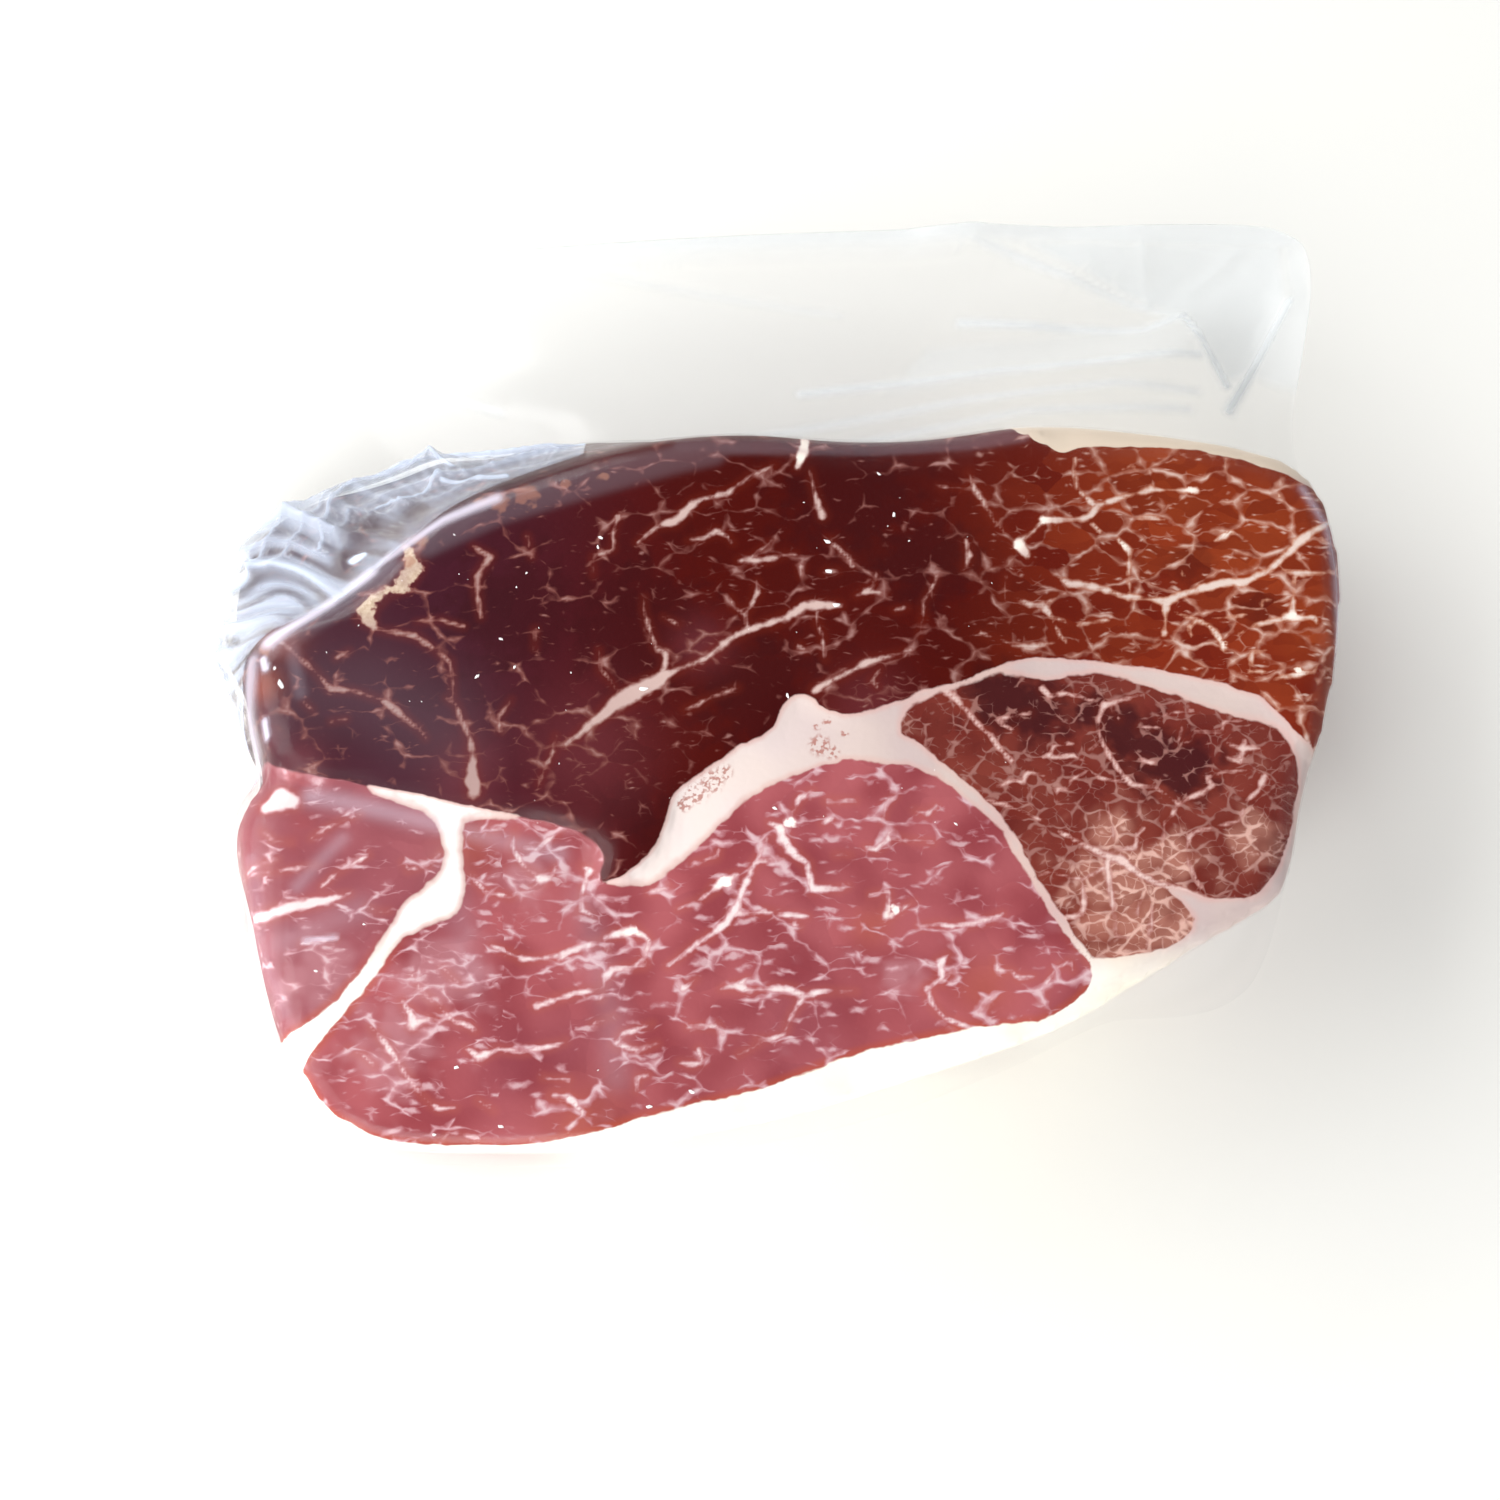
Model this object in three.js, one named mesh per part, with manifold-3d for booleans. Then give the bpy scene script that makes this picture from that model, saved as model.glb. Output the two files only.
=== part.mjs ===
// A block of cured Iberian ham, boned and cut across, lying cut face up in a clear vacuum bag.
//
// The block is one loft: the outline of its cut face, carried down a slightly leaning axis to a flat
// underside, with a rounded rim, a tuck under the front and a skirt of meat that flares out at the
// back left. Straight prisms drawn from the muscles' outlines cut it into the muscles and the fat
// between and round them, all of which run right through. The free film of the bag is one thin wavy
// sheet round the block. Millimetres, +Z up, cut face upwards, +X along the block's length.

import * as THREE from 'three';
import { mergeVertices } from 'three/addons/utils/BufferGeometryUtils.js';
import Module from 'manifold-3d';

const wasm = await Module();
wasm.setup();

// Driving dimensions of the block
const HEIGHT = 60;                 // from the table to the cut face
const LEAN = { x: -8, y: 10 };     // how far the underside lies from under the cut face
const GAP = 0.3;                   // between neighbouring solids
const RIM_RADIUS = 5.5;            // rounding of the cut face's edge
const SKIRT_FOLD = 1.3;            // height of the folds that run down the flare at the back left
const SKIRT_FOLDS = 22;            // how close these folds stand, as waves in a full turn
const FRONT_TUCK = 3.5;            // how much further the front goes under
const WALL_UNEVEN = 0.5;           // swell and dip of the side
const BLOCK_STEPS = 96;            // round the outline, halved twice towards the middle
const MIDDLE = { x: 8, y: -2 };    // inside the outline, all of it is seen from here

// Driving dimensions of the bag
const FILM = 0.9;                  // both plies with the air between them
const FILM_STEPS = 116;            // round the bag's edge
const FILM_ROWS = 4;               // from the block to the edge
const FILM_LOWEST = 0.8;           // underside of the film above the table
const FILM_UNDER_BLOCK = 4;        // how far the sheet runs into the block before it is cut back

const MATERIALS = {
  darkLean: { color: 0x5a1c1c, roughness: 0.42 },
  pinkLean: { color: 0xa04650, roughness: 0.42 },
  marbledLean: { color: 0x86413d, roughness: 0.45 },
  fat: { color: 0xf0dcd2, roughness: 0.48 },
  film: { color: 0xeef3f6, roughness: 0.12, transparent: true, opacity: 0.3 },
};

// Edge of the cut face, anticlockwise from the left end
const FACE_EDGE = [
  [-102, -16], [-98.5, -33], [-95, -47], [-91, -59], [-87, -69], [-80, -76], [-70, -79.5],
  [-57, -80.5], [-29, -80], [-10, -77.5], [10, -73.5], [29, -67.5], [48.5, -61.5], [63, -55.5],
  [78, -46.5], [98, -34.5], [106, -30], [109.5, -20.5], [112, -8], [115, 1], [120, 21],
  [121.5, 38], [120, 52], [115, 61.5], [104, 66], [83, 69.5], [60, 71.5], [41, 69], [21, 68],
  [-2, 69.5], [-21, 67.5], [-41, 61.5], [-61.5, 53], [-72, 44], [-83, 32], [-94, 27.5],
  [-101.5, 22], [-100.5, 12], [-97.5, 1], [-95, -3.7], [-99.5, -8.5],
];

// Foot of the dark muscles where they stand over the pink ones, from the left edge inwards
const STEP = [
  [-97, -1], [-90, -2.8], [-82, -4], [-76, -5.4], [-70, -6.4], [-60, -8.4], [-55, -9.4],
  [-50, -10.6], [-44, -12], [-38, -13.5], [-32, -15.6], [-28, -19.6], [-27, -23.5], [-28.5, -26],
];
const STEP_TO_SEAM = 6;            // index of the point where the thin seam meets the step

// Thin seam between the two dark muscles, from the step up to the back left edge
const THIN_SEAM = [
  [-55.6, -2], [-57, 3], [-59.6, 10.5], [-60.6, 17.5], [-63.6, 21], [-68.8, 24], [-76, 26],
  [-83, 30.5], [-96, 42], [-150, 92],
];

// Upper side of the seam of fat, from its tip by the step to the right edge
const SEAM_TOP = [
  [-23.7, -22.5], [-20, -18.5], [-18, -13.5], [-16, -8.5], [-12, -5], [-6, -1], [-2, 2], [3, 4.2],
  [5, 7.5], [6.5, 10.5], [9.5, 12.6], [13, 11.8], [15, 9.4], [20, 8.2], [26, 9.5], [36, 13.5],
  [42.5, 15], [52, 19.3], [60.5, 20], [70.5, 19.3], [87, 17], [101, 13], [105.5, 10], [108.5, 6.7],
  [114, 0.4],
];

// Lower side of the same seam, from its tip to where the fine branch leaves it
const SEAM_FOOT = [
  [-24.7, -27.2], [-18.8, -27.1], [-13.8, -23], [-9.9, -19.6], [-2, -12], [2, -8.9], [8, -5.8],
  [14, -3.7], [21, -2.1], [29, -3.2],
];

// Fine branch between the round muscle and the lower one, with its width at each point
const BRANCH = [[34.5, -1.8], [39.9, -5.6], [44.8, -9.7], [50.6, -15.5], [54.4, -22.6],
  [60.1, -32.8], [64.8, -39.8], [67.6, -43.4]];
const BRANCH_WIDTH = [4.4, 3, 2.6, 2.2, 1.9, 1.7, 1.7, 1.9];

// Round marbled muscle: its top side from the left tip to the right, then down the right and back
const ROUND_TOP = [
  [31.5, 8], [36.2, 10.6], [45.3, 14.3], [52, 15.8], [60.4, 14.7], [70.5, 16], [82.5, 12.6],
  [95.3, 7.7], [104.5, 5.2], [108.5, 1.5], [110, -5], [109.2, -12], [106.8, -20.5], [102.6, -27.4],
  [98, -30.4], [89, -30], [81.5, -27.4], [85.5, -31.6], [87.6, -35], [85.4, -38.4], [81.4, -40.6],
  [74.5, -41.6],
];
const ROUND_TIP = [30.6, 3.6];

// Edge of the lower pink muscle against the fat cap, from the right to the left end
const CAP_TOP = [
  [66.4, -47.8], [62.4, -51.8], [56.5, -54.7], [43.8, -56.2], [29.2, -59.3], [19.4, -61.8],
  [9.7, -65.5], [0, -68.8], [-19.3, -73.3], [-30, -76.6], [-42, -78.8], [-57.5, -79],
  [-69, -78.2], [-77, -75], [-82, -71.5], [-85, -67], [-86.4, -63.6],
];

// Left seam: the side towards the left muscle, then the side towards the lower one, both from below
const LEFT_SEAM_OUTER = [
  [-85.7, -54.7], [-81, -50.8], [-75.4, -43.8], [-70.8, -35.8], [-68, -30.8], [-64.1, -27.7],
  [-61.3, -24.7], [-60.4, -21.6], [-60.9, -18.6], [-62.6, -14.5], [-65.6, -11.9], [-70.7, -10],
  [-75, -8],
];
const LEFT_SEAM_INNER = [
  [-81.7, -56.7], [-75.2, -48.8], [-69.6, -40.8], [-65.8, -37.2], [-58, -34.2], [-56.3, -31],
  [-56.2, -26.7], [-57, -20.6], [-56.6, -15], [-53, -13.6], [-46.5, -13.2],
];

// Thin fat at the back right, on the side towards the meat
const BACK_CAP = [[62, 66.6], [64, 63.9], [70, 64.6], [88.6, 64.6], [101, 62], [108, 59.4],
  [116, 56]];

// Edge of the free film, anticlockwise from the left end, with its height above the table
const BAG_EDGE = [
  [-108, -15, 14], [-102, -43, 13], [-95, -62, 12], [-83, -73.5, 12], [-60, -76.5, 12],
  [-30, -76.5, 12], [0, -72.5, 12], [30, -65.5, 12], [56, -55, 9], [79, -44, 5], [90, -44, 4],
  [106, -39, 4], [114.5, -20, 6], [117.5, 0, 10], [122, 25, 12], [125, 48, 14], [123, 68, 17],
  [120, 84, 19], [124, 105, 17], [128, 128, 12], [125, 138, 9], [60, 140, 8], [0, 138, 9],
  [-60, 134, 8], [-120, 127, 8], [-140, 122, 9], [-156, 120, 10], [-170, 111, 9],
  [-172, 90, 6], [-167, 70, 4], [-154, 59, 4], [-136, 53, 6], [-125, 43, 8], [-117, 20, 11],
  [-110, 2, 14],
];

// Height at which the film leaves the block, by direction: high at the back, low elsewhere
const FILM_ROOT = { low: 14, back: 36 };

const lerp = THREE.MathUtils.lerp;
const smoothstep = THREE.MathUtils.smoothstep;
const toVectors = (points) => points.map(([x, y, z = 0]) => new THREE.Vector3(x, y, z));

// Turns a closed mesh's shared vertices into a solid that can be joined and cut
function toSolid(geometry) {
  const bare = geometry.clone();
  bare.deleteAttribute('normal');
  bare.deleteAttribute('uv');
  const merged = mergeVertices(bare, 1e-5);
  return new wasm.Manifold(new wasm.Mesh({
    numProp: 3,
    vertProperties: new Float32Array(merged.attributes.position.array),
    triVerts: new Uint32Array(merged.index.array),
  }));
}

// The largest body of a solid, because a cut can leave a loose scrap beside it
function largestBody(solid) {
  const bodies = solid.decompose();
  return bodies.reduce((best, body) => (body.volume() > best.volume() ? body : best));
}

function toMesh(name, solid, material) {
  const cut = largestBody(solid).getMesh();
  const geometry = new THREE.BufferGeometry();
  geometry.setAttribute('position', new THREE.BufferAttribute(cut.vertProperties, 3));
  geometry.setIndex(new THREE.BufferAttribute(cut.triVerts, 1));
  geometry.computeVertexNormals();
  const mesh = new THREE.Mesh(geometry, new THREE.MeshStandardMaterial(material));
  mesh.name = name;
  return mesh;
}

// Closes rings of points into a mesh with a pole at both ends. A ring has as many points as the one
// before it, half as many or twice as many.
function loftGeometry(rings, firstPole, lastPole) {
  const points = [firstPole, ...rings.flat(), lastPole];
  const starts = rings.map((_, i) => 1 + rings.slice(0, i).flat().length);
  const at = (ring, step) => starts[ring] + (step % rings[ring].length);
  const faces = [];
  const last = rings.length - 1;
  rings[0].forEach((_, step) => faces.push(0, at(0, step + 1), at(0, step)));
  rings[last].forEach((_, step) => {
    faces.push(points.length - 1, at(last, step), at(last, step + 1));
  });
  for (let ring = 0; ring < last; ring += 1) {
    const below = rings[ring].length;
    const above = rings[ring + 1].length;
    for (let step = 0; step < Math.min(below, above); step += 1) {
      const a = (step * below) / Math.min(below, above);
      const b = (step * above) / Math.min(below, above);
      if (below > above) faces.push(at(ring, a), at(ring, a + 1), at(ring + 1, b));
      if (above > below) faces.push(at(ring, a), at(ring + 1, b + 1), at(ring + 1, b));
      const fromA = below > above ? a + 1 : a;
      const fromB = above > below ? b + 1 : b;
      faces.push(at(ring, fromA), at(ring, fromA + 1), at(ring + 1, fromB + 1));
      faces.push(at(ring, fromA), at(ring + 1, fromB + 1), at(ring + 1, fromB));
    }
  }
  const geometry = new THREE.BufferGeometry().setFromPoints(points);
  geometry.setIndex(faces);
  return geometry;
}

function distanceToLine(x, y, line) {
  const point = new THREE.Vector3(x, y, 0);
  const nearest = new THREE.Vector3();
  let distance = Infinity;
  for (let i = 0; i + 1 < line.length; i += 1) {
    new THREE.Line3(line[i], line[i + 1]).closestPointToPoint(point, true, nearest);
    distance = Math.min(distance, nearest.distanceTo(point));
  }
  return distance;
}

const faceEdge = new THREE.CatmullRomCurve3(toVectors(FACE_EDGE), true, 'centripetal');
const stepLine = toVectors(STEP);

// Height of the cut face: gently uneven, with the dark muscles proud of the pink ones at the step
const FACE_WAVE = 0.9;             // height of the long waves of the cut face
const FACE_LEVEL = HEIGHT - 1;     // its mean height
const STEP_REACH = 13;             // how far from the step the levels differ most
const LEVELS = {
  dark: { offset: 0.6, atStep: 1.3 },
  pink: { offset: -0.4, atStep: -1.9 },
  fat: { offset: -0.5, atStep: -1.2 },
};

function faceHeight(x, y, level) {
  const wave = FACE_WAVE * Math.sin(x / 31 + 0.7) * Math.cos(y / 24 - 0.4)
    + 0.5 * FACE_WAVE * Math.sin(x / 13 - y / 17);
  const nearStep = Math.exp(-((distanceToLine(x, y, stepLine) / STEP_REACH) ** 2));
  return FACE_LEVEL + wave + level.offset + level.atStep * nearStep;
}

// How far the wall stands out from the leaning outline at a height, from the table upwards
const WALL = [
  { z: 0, out: -8.5 }, { z: 1.6, out: -5 }, { z: 5, out: -2.2 }, { z: 11, out: 0 },
  { z: 20, out: 1 }, { z: 31, out: 1.2 }, { z: 42, out: 0.6 }, { z: 50, out: 0 },
];

// How far the foot of the block flares out at the back left, by direction in degrees
const SKIRT = [
  [96, 0], [116, 9], [128, 15], [138, 20], [148, 27], [154, 32], [159, 28], [164, 12], [171, 0],
];

// Rings of the cut face as shares of the way from its middle, with every how many-th point kept
const FACE_RINGS = [
  { share: 0.93, skip: 1 }, { share: 0.84, skip: 1 }, { share: 0.74, skip: 1 },
  { share: 0.63, skip: 2 }, { share: 0.52, skip: 2 }, { share: 0.41, skip: 2 },
  { share: 0.29, skip: 4 }, { share: 0.15, skip: 4 },
];
const UNDERSIDE_RINGS = [{ share: 0.4, skip: 4 }, { share: 0.75, skip: 2 }];
const RIM_TURNS = [0.35, 0.7, 1];  // places on the rim's quarter turn
const everyNth = (list, n) => list.filter((_, i) => i % n === 0);

function skirtAt(angle) {
  const degrees = THREE.MathUtils.euclideanModulo(THREE.MathUtils.radToDeg(angle), 360);
  const next = SKIRT.findIndex(([direction]) => direction > degrees);
  if (next < 1) return 0;
  const [from, reachFrom] = SKIRT[next - 1];
  const [to, reachTo] = SKIRT[next];
  return lerp(reachFrom, reachTo, smoothstep(degrees, from, to));
}

// One place on the wall: a point of the face's edge taken down to a height
function wallPoint(edgePoint, z, out, grow) {
  const dx = edgePoint.x - MIDDLE.x;
  const dy = edgePoint.y - MIDDLE.y;
  const reach = Math.hypot(dx, dy);
  const angle = Math.atan2(dy, dx);
  const down = (HEIGHT - z) / HEIGHT;
  const skirt = skirtAt(angle);
  const slope = smoothstep(down, 0.02, 0.86);
  const fullFold = 15;               // flare from which the folds have their whole height
  const fold = SKIRT_FOLD * Math.min(1, skirt / fullFold) * Math.sin(angle * SKIRT_FOLDS + down);
  const front = Math.max(0, -dy / reach);
  const uneven = WALL_UNEVEN * Math.sin(angle * 9 + z / 7) * Math.min(1, down * 4);
  const stand = out + grow + (skirt + fold) * slope + uneven - FRONT_TUCK * front * down;
  return new THREE.Vector3(
    edgePoint.x + (dx / reach) * stand + LEAN.x * down,
    edgePoint.y + (dy / reach) * stand + LEAN.y * down,
    z,
  );
}

// The whole block, with its cut face at one of the levels, made larger all round by grow
function blockSolid(level, grow = 0) {
  const edge = faceEdge.getSpacedPoints(BLOCK_STEPS).slice(0, BLOCK_STEPS);
  const underside = WALL[0];
  const rings = UNDERSIDE_RINGS.map(({ share, skip }) => (
    everyNth(edge, skip).map((point) => {
      const foot = wallPoint(point, -grow, underside.out, grow);
      return new THREE.Vector3(
        lerp(MIDDLE.x + LEAN.x, foot.x, share),
        lerp(MIDDLE.y + LEAN.y, foot.y, share),
        -grow,
      );
    })
  ));
  rings.push(edge.map((point) => wallPoint(point, -grow, underside.out, grow)));
  WALL.slice(1).forEach(({ z, out }) => {
    rings.push(edge.map((point) => wallPoint(point, z, out, grow)));
  });
  // Rounded rim, as a quarter turn up to the cut face
  RIM_TURNS.forEach((share) => {
    const turn = (share * Math.PI) / 2;
    rings.push(edge.map((point) => {
      const rim = wallPoint(point, HEIGHT, RIM_RADIUS * (Math.cos(turn) - 1), grow);
      const top = faceHeight(rim.x, rim.y, level) + grow;
      rim.z = top - RIM_RADIUS * (1 - Math.sin(turn));
      return rim;
    }));
  });
  const rim = rings[rings.length - 1];
  FACE_RINGS.forEach(({ share, skip }) => {
    rings.push(everyNth(rim, skip).map((point) => {
      const x = lerp(MIDDLE.x, point.x, share);
      const y = lerp(MIDDLE.y, point.y, share);
      return new THREE.Vector3(x, y, faceHeight(x, y, level) + grow);
    }));
  });
  const foot = new THREE.Vector3(MIDDLE.x + LEAN.x, MIDDLE.y + LEAN.y, -grow);
  const crown = new THREE.Vector3(
    MIDDLE.x,
    MIDDLE.y,
    faceHeight(MIDDLE.x, MIDDLE.y, level) + grow,
  );
  return toSolid(loftGeometry(rings, foot, crown));
}

// Both sides of a band of given widths along a line
function bandSides(line, widths) {
  const sides = { left: [], right: [] };
  line.forEach(([x, y], i) => {
    const [x0, y0] = line[Math.max(0, i - 1)];
    const [x1, y1] = line[Math.min(line.length - 1, i + 1)];
    const length = Math.hypot(x1 - x0, y1 - y0);
    const nx = (-(y1 - y0) / length) * (widths[i] / 2);
    const ny = ((x1 - x0) / length) * (widths[i] / 2);
    sides.left.push([x + nx, y + ny]);
    sides.right.push([x - nx, y - ny]);
  });
  return sides;
}

// A closed outline: a smooth curve through its points, then straight past the points outside
function muscleOutline(inside, outside = []) {
  const shape = new THREE.Shape();
  shape.moveTo(...inside[0]);
  shape.splineThru(inside.slice(1).map(([x, y]) => new THREE.Vector2(x, y)));
  outside.forEach(([x, y]) => shape.lineTo(x, y));
  const points = shape.getPoints(2);
  if (points[0].distanceTo(points[points.length - 1]) < 0.01) points.pop();
  return THREE.ShapeUtils.isClockWise(points) ? points.reverse() : points;
}

// The same anticlockwise outline moved outwards by a distance
function grownOutline(points, grow) {
  return points.map((point, i) => {
    const before = points[(i + points.length - 1) % points.length];
    const after = points[(i + 1) % points.length];
    const a = point.clone().sub(before).normalize();
    const b = after.clone().sub(point).normalize();
    const normal = new THREE.Vector2(a.y + b.y, -a.x - b.x);
    const turn = Math.max(0.5, normal.length() / 2);
    return point.clone().add(normal.normalize().multiplyScalar(grow / turn));
  });
}

// A prism of an outline through the whole block, leaning as the block does
function prismSolid(outline, grow = 0) {
  const below = 6;                   // the prism runs past the block at both ends
  const depth = HEIGHT + 3 * below;
  const geometry = new THREE.ExtrudeGeometry(new THREE.Shape(grownOutline(outline, grow)), {
    depth,
    bevelEnabled: false,
  });
  geometry.translate(0, 0, -below);
  const perMillimetre = { x: LEAN.x / HEIGHT, y: LEAN.y / HEIGHT };
  const lean = new THREE.Matrix4().makeShear(0, 0, 0, 0, -perMillimetre.x, -perMillimetre.y);
  geometry.applyMatrix4(lean);
  geometry.translate(LEAN.x, LEAN.y, 0);
  return toSolid(geometry);
}

const branch = bandSides(BRANCH, BRANCH_WIDTH);
const leftOfSeam = STEP.slice(0, STEP_TO_SEAM + 1);
const rightOfSeam = STEP.slice(STEP_TO_SEAM);

const OUTLINES = {
  // Large dark muscle along the back
  leanUpper: muscleOutline(
    [...THIN_SEAM.slice().reverse(), ...rightOfSeam, ...SEAM_TOP],
    [[135, -22], [150, 40], [116, 56], ...BACK_CAP.slice(0, -1).reverse(), [56, 73], [50, 140],
      [-150, 140]],
  ),
  // Darkest muscle in the back left corner
  leanUpperLeft: muscleOutline(
    [...leftOfSeam, ...THIN_SEAM],
    [[-170, 60], [-150, 6]],
  ),
  // Round marbled muscle at the right, all round it fat
  leanRound: muscleOutline([ROUND_TIP, ...ROUND_TOP, ...branch.left.slice().reverse(), ROUND_TIP]),
  // Large pink muscle below the seam
  leanLower: muscleOutline([
    ...rightOfSeam.slice(2), ...SEAM_FOOT, ...branch.right, ...CAP_TOP, ...LEFT_SEAM_INNER,
    rightOfSeam[2],
  ]),
  // Small pink muscles at the left end
  leanLeft: muscleOutline(
    [...LEFT_SEAM_OUTER, ...leftOfSeam.slice(0, 4).reverse()],
    [[-150, 6], [-150, -60], [-98, -64]],
  ),
};

// Muscles in the order in which they are cut, each clear of those before it
const MUSCLES = [
  { name: 'lean_upper', outline: OUTLINES.leanUpper, level: LEVELS.dark, look: 'darkLean' },
  { name: 'lean_upper_left', outline: OUTLINES.leanUpperLeft, level: LEVELS.dark, look: 'darkLean' },
  { name: 'lean_round', outline: OUTLINES.leanRound, level: LEVELS.fat, look: 'marbledLean' },
  { name: 'lean_lower', outline: OUTLINES.leanLower, level: LEVELS.pink, look: 'pinkLean' },
  { name: 'lean_left', outline: OUTLINES.leanLeft, level: LEVELS.pink, look: 'pinkLean' },
];

function hamMeshes() {
  const meshes = [];
  let taken = null;
  MUSCLES.forEach(({ name, outline, level, look }) => {
    let muscle = blockSolid(level).intersect(prismSolid(outline));
    if (taken) muscle = muscle.subtract(taken);
    meshes.push(toMesh(name, muscle, MATERIALS[look]));
    const room = prismSolid(outline, GAP);
    taken = taken ? taken.add(room) : room;
  });
  // Fat fills the rest: the seams with the cap in front, and the thin cap at the back right
  const bodies = blockSolid(LEVELS.fat).subtract(taken).decompose();
  bodies.sort((a, b) => b.volume() - a.volume());
  meshes.push(toMesh('fat_seams_and_cap', bodies[0], MATERIALS.fat));
  meshes.push(toMesh('fat_back_cap', bodies[1], MATERIALS.fat));
  return meshes;
}

// Creases of the free film: ridges along lines, each with a height and a half width
const CREASES = [
  { line: toVectors([[50, 135], [94, 108]]), height: 5, half: 16 },
  { line: toVectors([[94, 108], [104, 84]]), height: 5, half: 12 },
  { line: toVectors([[-170, 110], [-148, 84], [-131, 80]]), height: 3, half: 13 },
  { line: toVectors([[-60, 118], [20, 108]]), height: 4, half: 18 },
];

function filmHeight(x, y, root, edge, share) {
  const slack = Math.sin(Math.PI * share);
  const wave = 1.6 * Math.sin(x / 17 + y / 23) * slack;
  const crease = CREASES.reduce((sum, { line, height, half }) => {
    const near = Math.max(0, 1 - distanceToLine(x, y, line) / half);
    return sum + height * near * smoothstep(share, 0.1, 0.5);
  }, 0);
  const height = lerp(root, edge, smoothstep(share, 0, 0.75)) + wave + crease;
  return Math.max(FILM_LOWEST + FILM / 2, height);
}

// Directions of the bag's edge points from the middle, evened out so that rows don't cross
function rowDirections(edge) {
  const raw = edge.map((point) => Math.atan2(point.y - MIDDLE.y, point.x - MIDDLE.x));
  for (let i = 1; i < raw.length; i += 1) {
    while (raw[i] < raw[i - 1] - Math.PI) raw[i] += 2 * Math.PI;
  }
  const spread = 5;
  return raw.map((_, i) => {
    let sum = 0;
    for (let k = -spread; k <= spread; k += 1) {
      const j = i + k;
      const wrap = Math.floor(j / raw.length);
      sum += raw[j - wrap * raw.length] + wrap * 2 * Math.PI;
    }
    return sum / (2 * spread + 1);
  });
}

// The point of the face's edge that lies in a direction from the middle
function edgeInDirection(samples, angle) {
  const apart = (a, b) => Math.abs(Math.atan2(Math.sin(a - b), Math.cos(a - b)));
  return samples.reduce((best, sample) => (
    apart(sample.angle, angle) < apart(best.angle, angle) ? sample : best
  )).point;
}

function bagMesh() {
  const curve = new THREE.CatmullRomCurve3(toVectors(BAG_EDGE), true, 'centripetal');
  const edge = curve.getSpacedPoints(FILM_STEPS).slice(0, FILM_STEPS);
  const directions = rowDirections(edge);
  const samples = faceEdge.getSpacedPoints(FILM_STEPS * 4).map((point) => ({
    point,
    angle: Math.atan2(point.y - MIDDLE.y, point.x - MIDDLE.x),
  }));
  const rows = [];
  for (let row = 0; row <= FILM_ROWS; row += 1) {
    const share = row / FILM_ROWS;
    rows.push(edge.map((outer, i) => {
      const facePoint = edgeInDirection(samples, directions[i]);
      const back = smoothstep(Math.sin(directions[i]), 0.25, 0.75)
        * smoothstep(Math.cos(directions[i]), -0.75, -0.45);
      const root = lerp(FILM_ROOT.low, FILM_ROOT.back, back);
      const inner = wallPoint(facePoint, root, -FILM_UNDER_BLOCK, 0);
      const x = lerp(inner.x, outer.x, share);
      const y = lerp(inner.y, outer.y, share);
      return new THREE.Vector3(x, y, filmHeight(x, y, root, outer.z, share));
    }));
  }
  const lift = (ring, up) => ring.map(({ x, y, z }) => new THREE.Vector3(x, y, z + up));
  const top = rows.map((row) => lift(row, FILM / 2));
  const underside = rows.map((row) => lift(row, -FILM / 2)).reverse();
  return toMesh(
    'bag_film',
    ringSolid([...top, ...underside]).subtract(blockSolid(LEVELS.dark, GAP)),
    MATERIALS.film,
  );
}

// Closes rings of points into a hoop: the last ring joins the first
function ringSolid(rings) {
  const steps = rings[0].length;
  const at = (ring, step) => (ring % rings.length) * steps + (step % steps);
  const faces = [];
  for (let ring = 0; ring < rings.length; ring += 1) {
    for (let step = 0; step < steps; step += 1) {
      faces.push(at(ring, step), at(ring + 1, step), at(ring + 1, step + 1));
      faces.push(at(ring, step), at(ring + 1, step + 1), at(ring, step + 1));
    }
  }
  const geometry = new THREE.BufferGeometry().setFromPoints(rings.flat());
  geometry.setIndex(faces);
  return toSolid(geometry);
}

// The origin is under the middle of the whole pack, on the table
const pack = new THREE.Group();
pack.add(...hamMeshes(), bagMesh());
const box = new THREE.Box3().setFromObject(pack);
const centre = box.getCenter(new THREE.Vector3());
pack.position.set(-centre.x, -centre.y, -box.min.z);

const ham = new THREE.Group();
ham.add(pack);

export default ham;
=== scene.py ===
import math

import bpy
import numpy as np
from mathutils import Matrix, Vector
from mathutils.bvhtree import BVHTree


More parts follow.
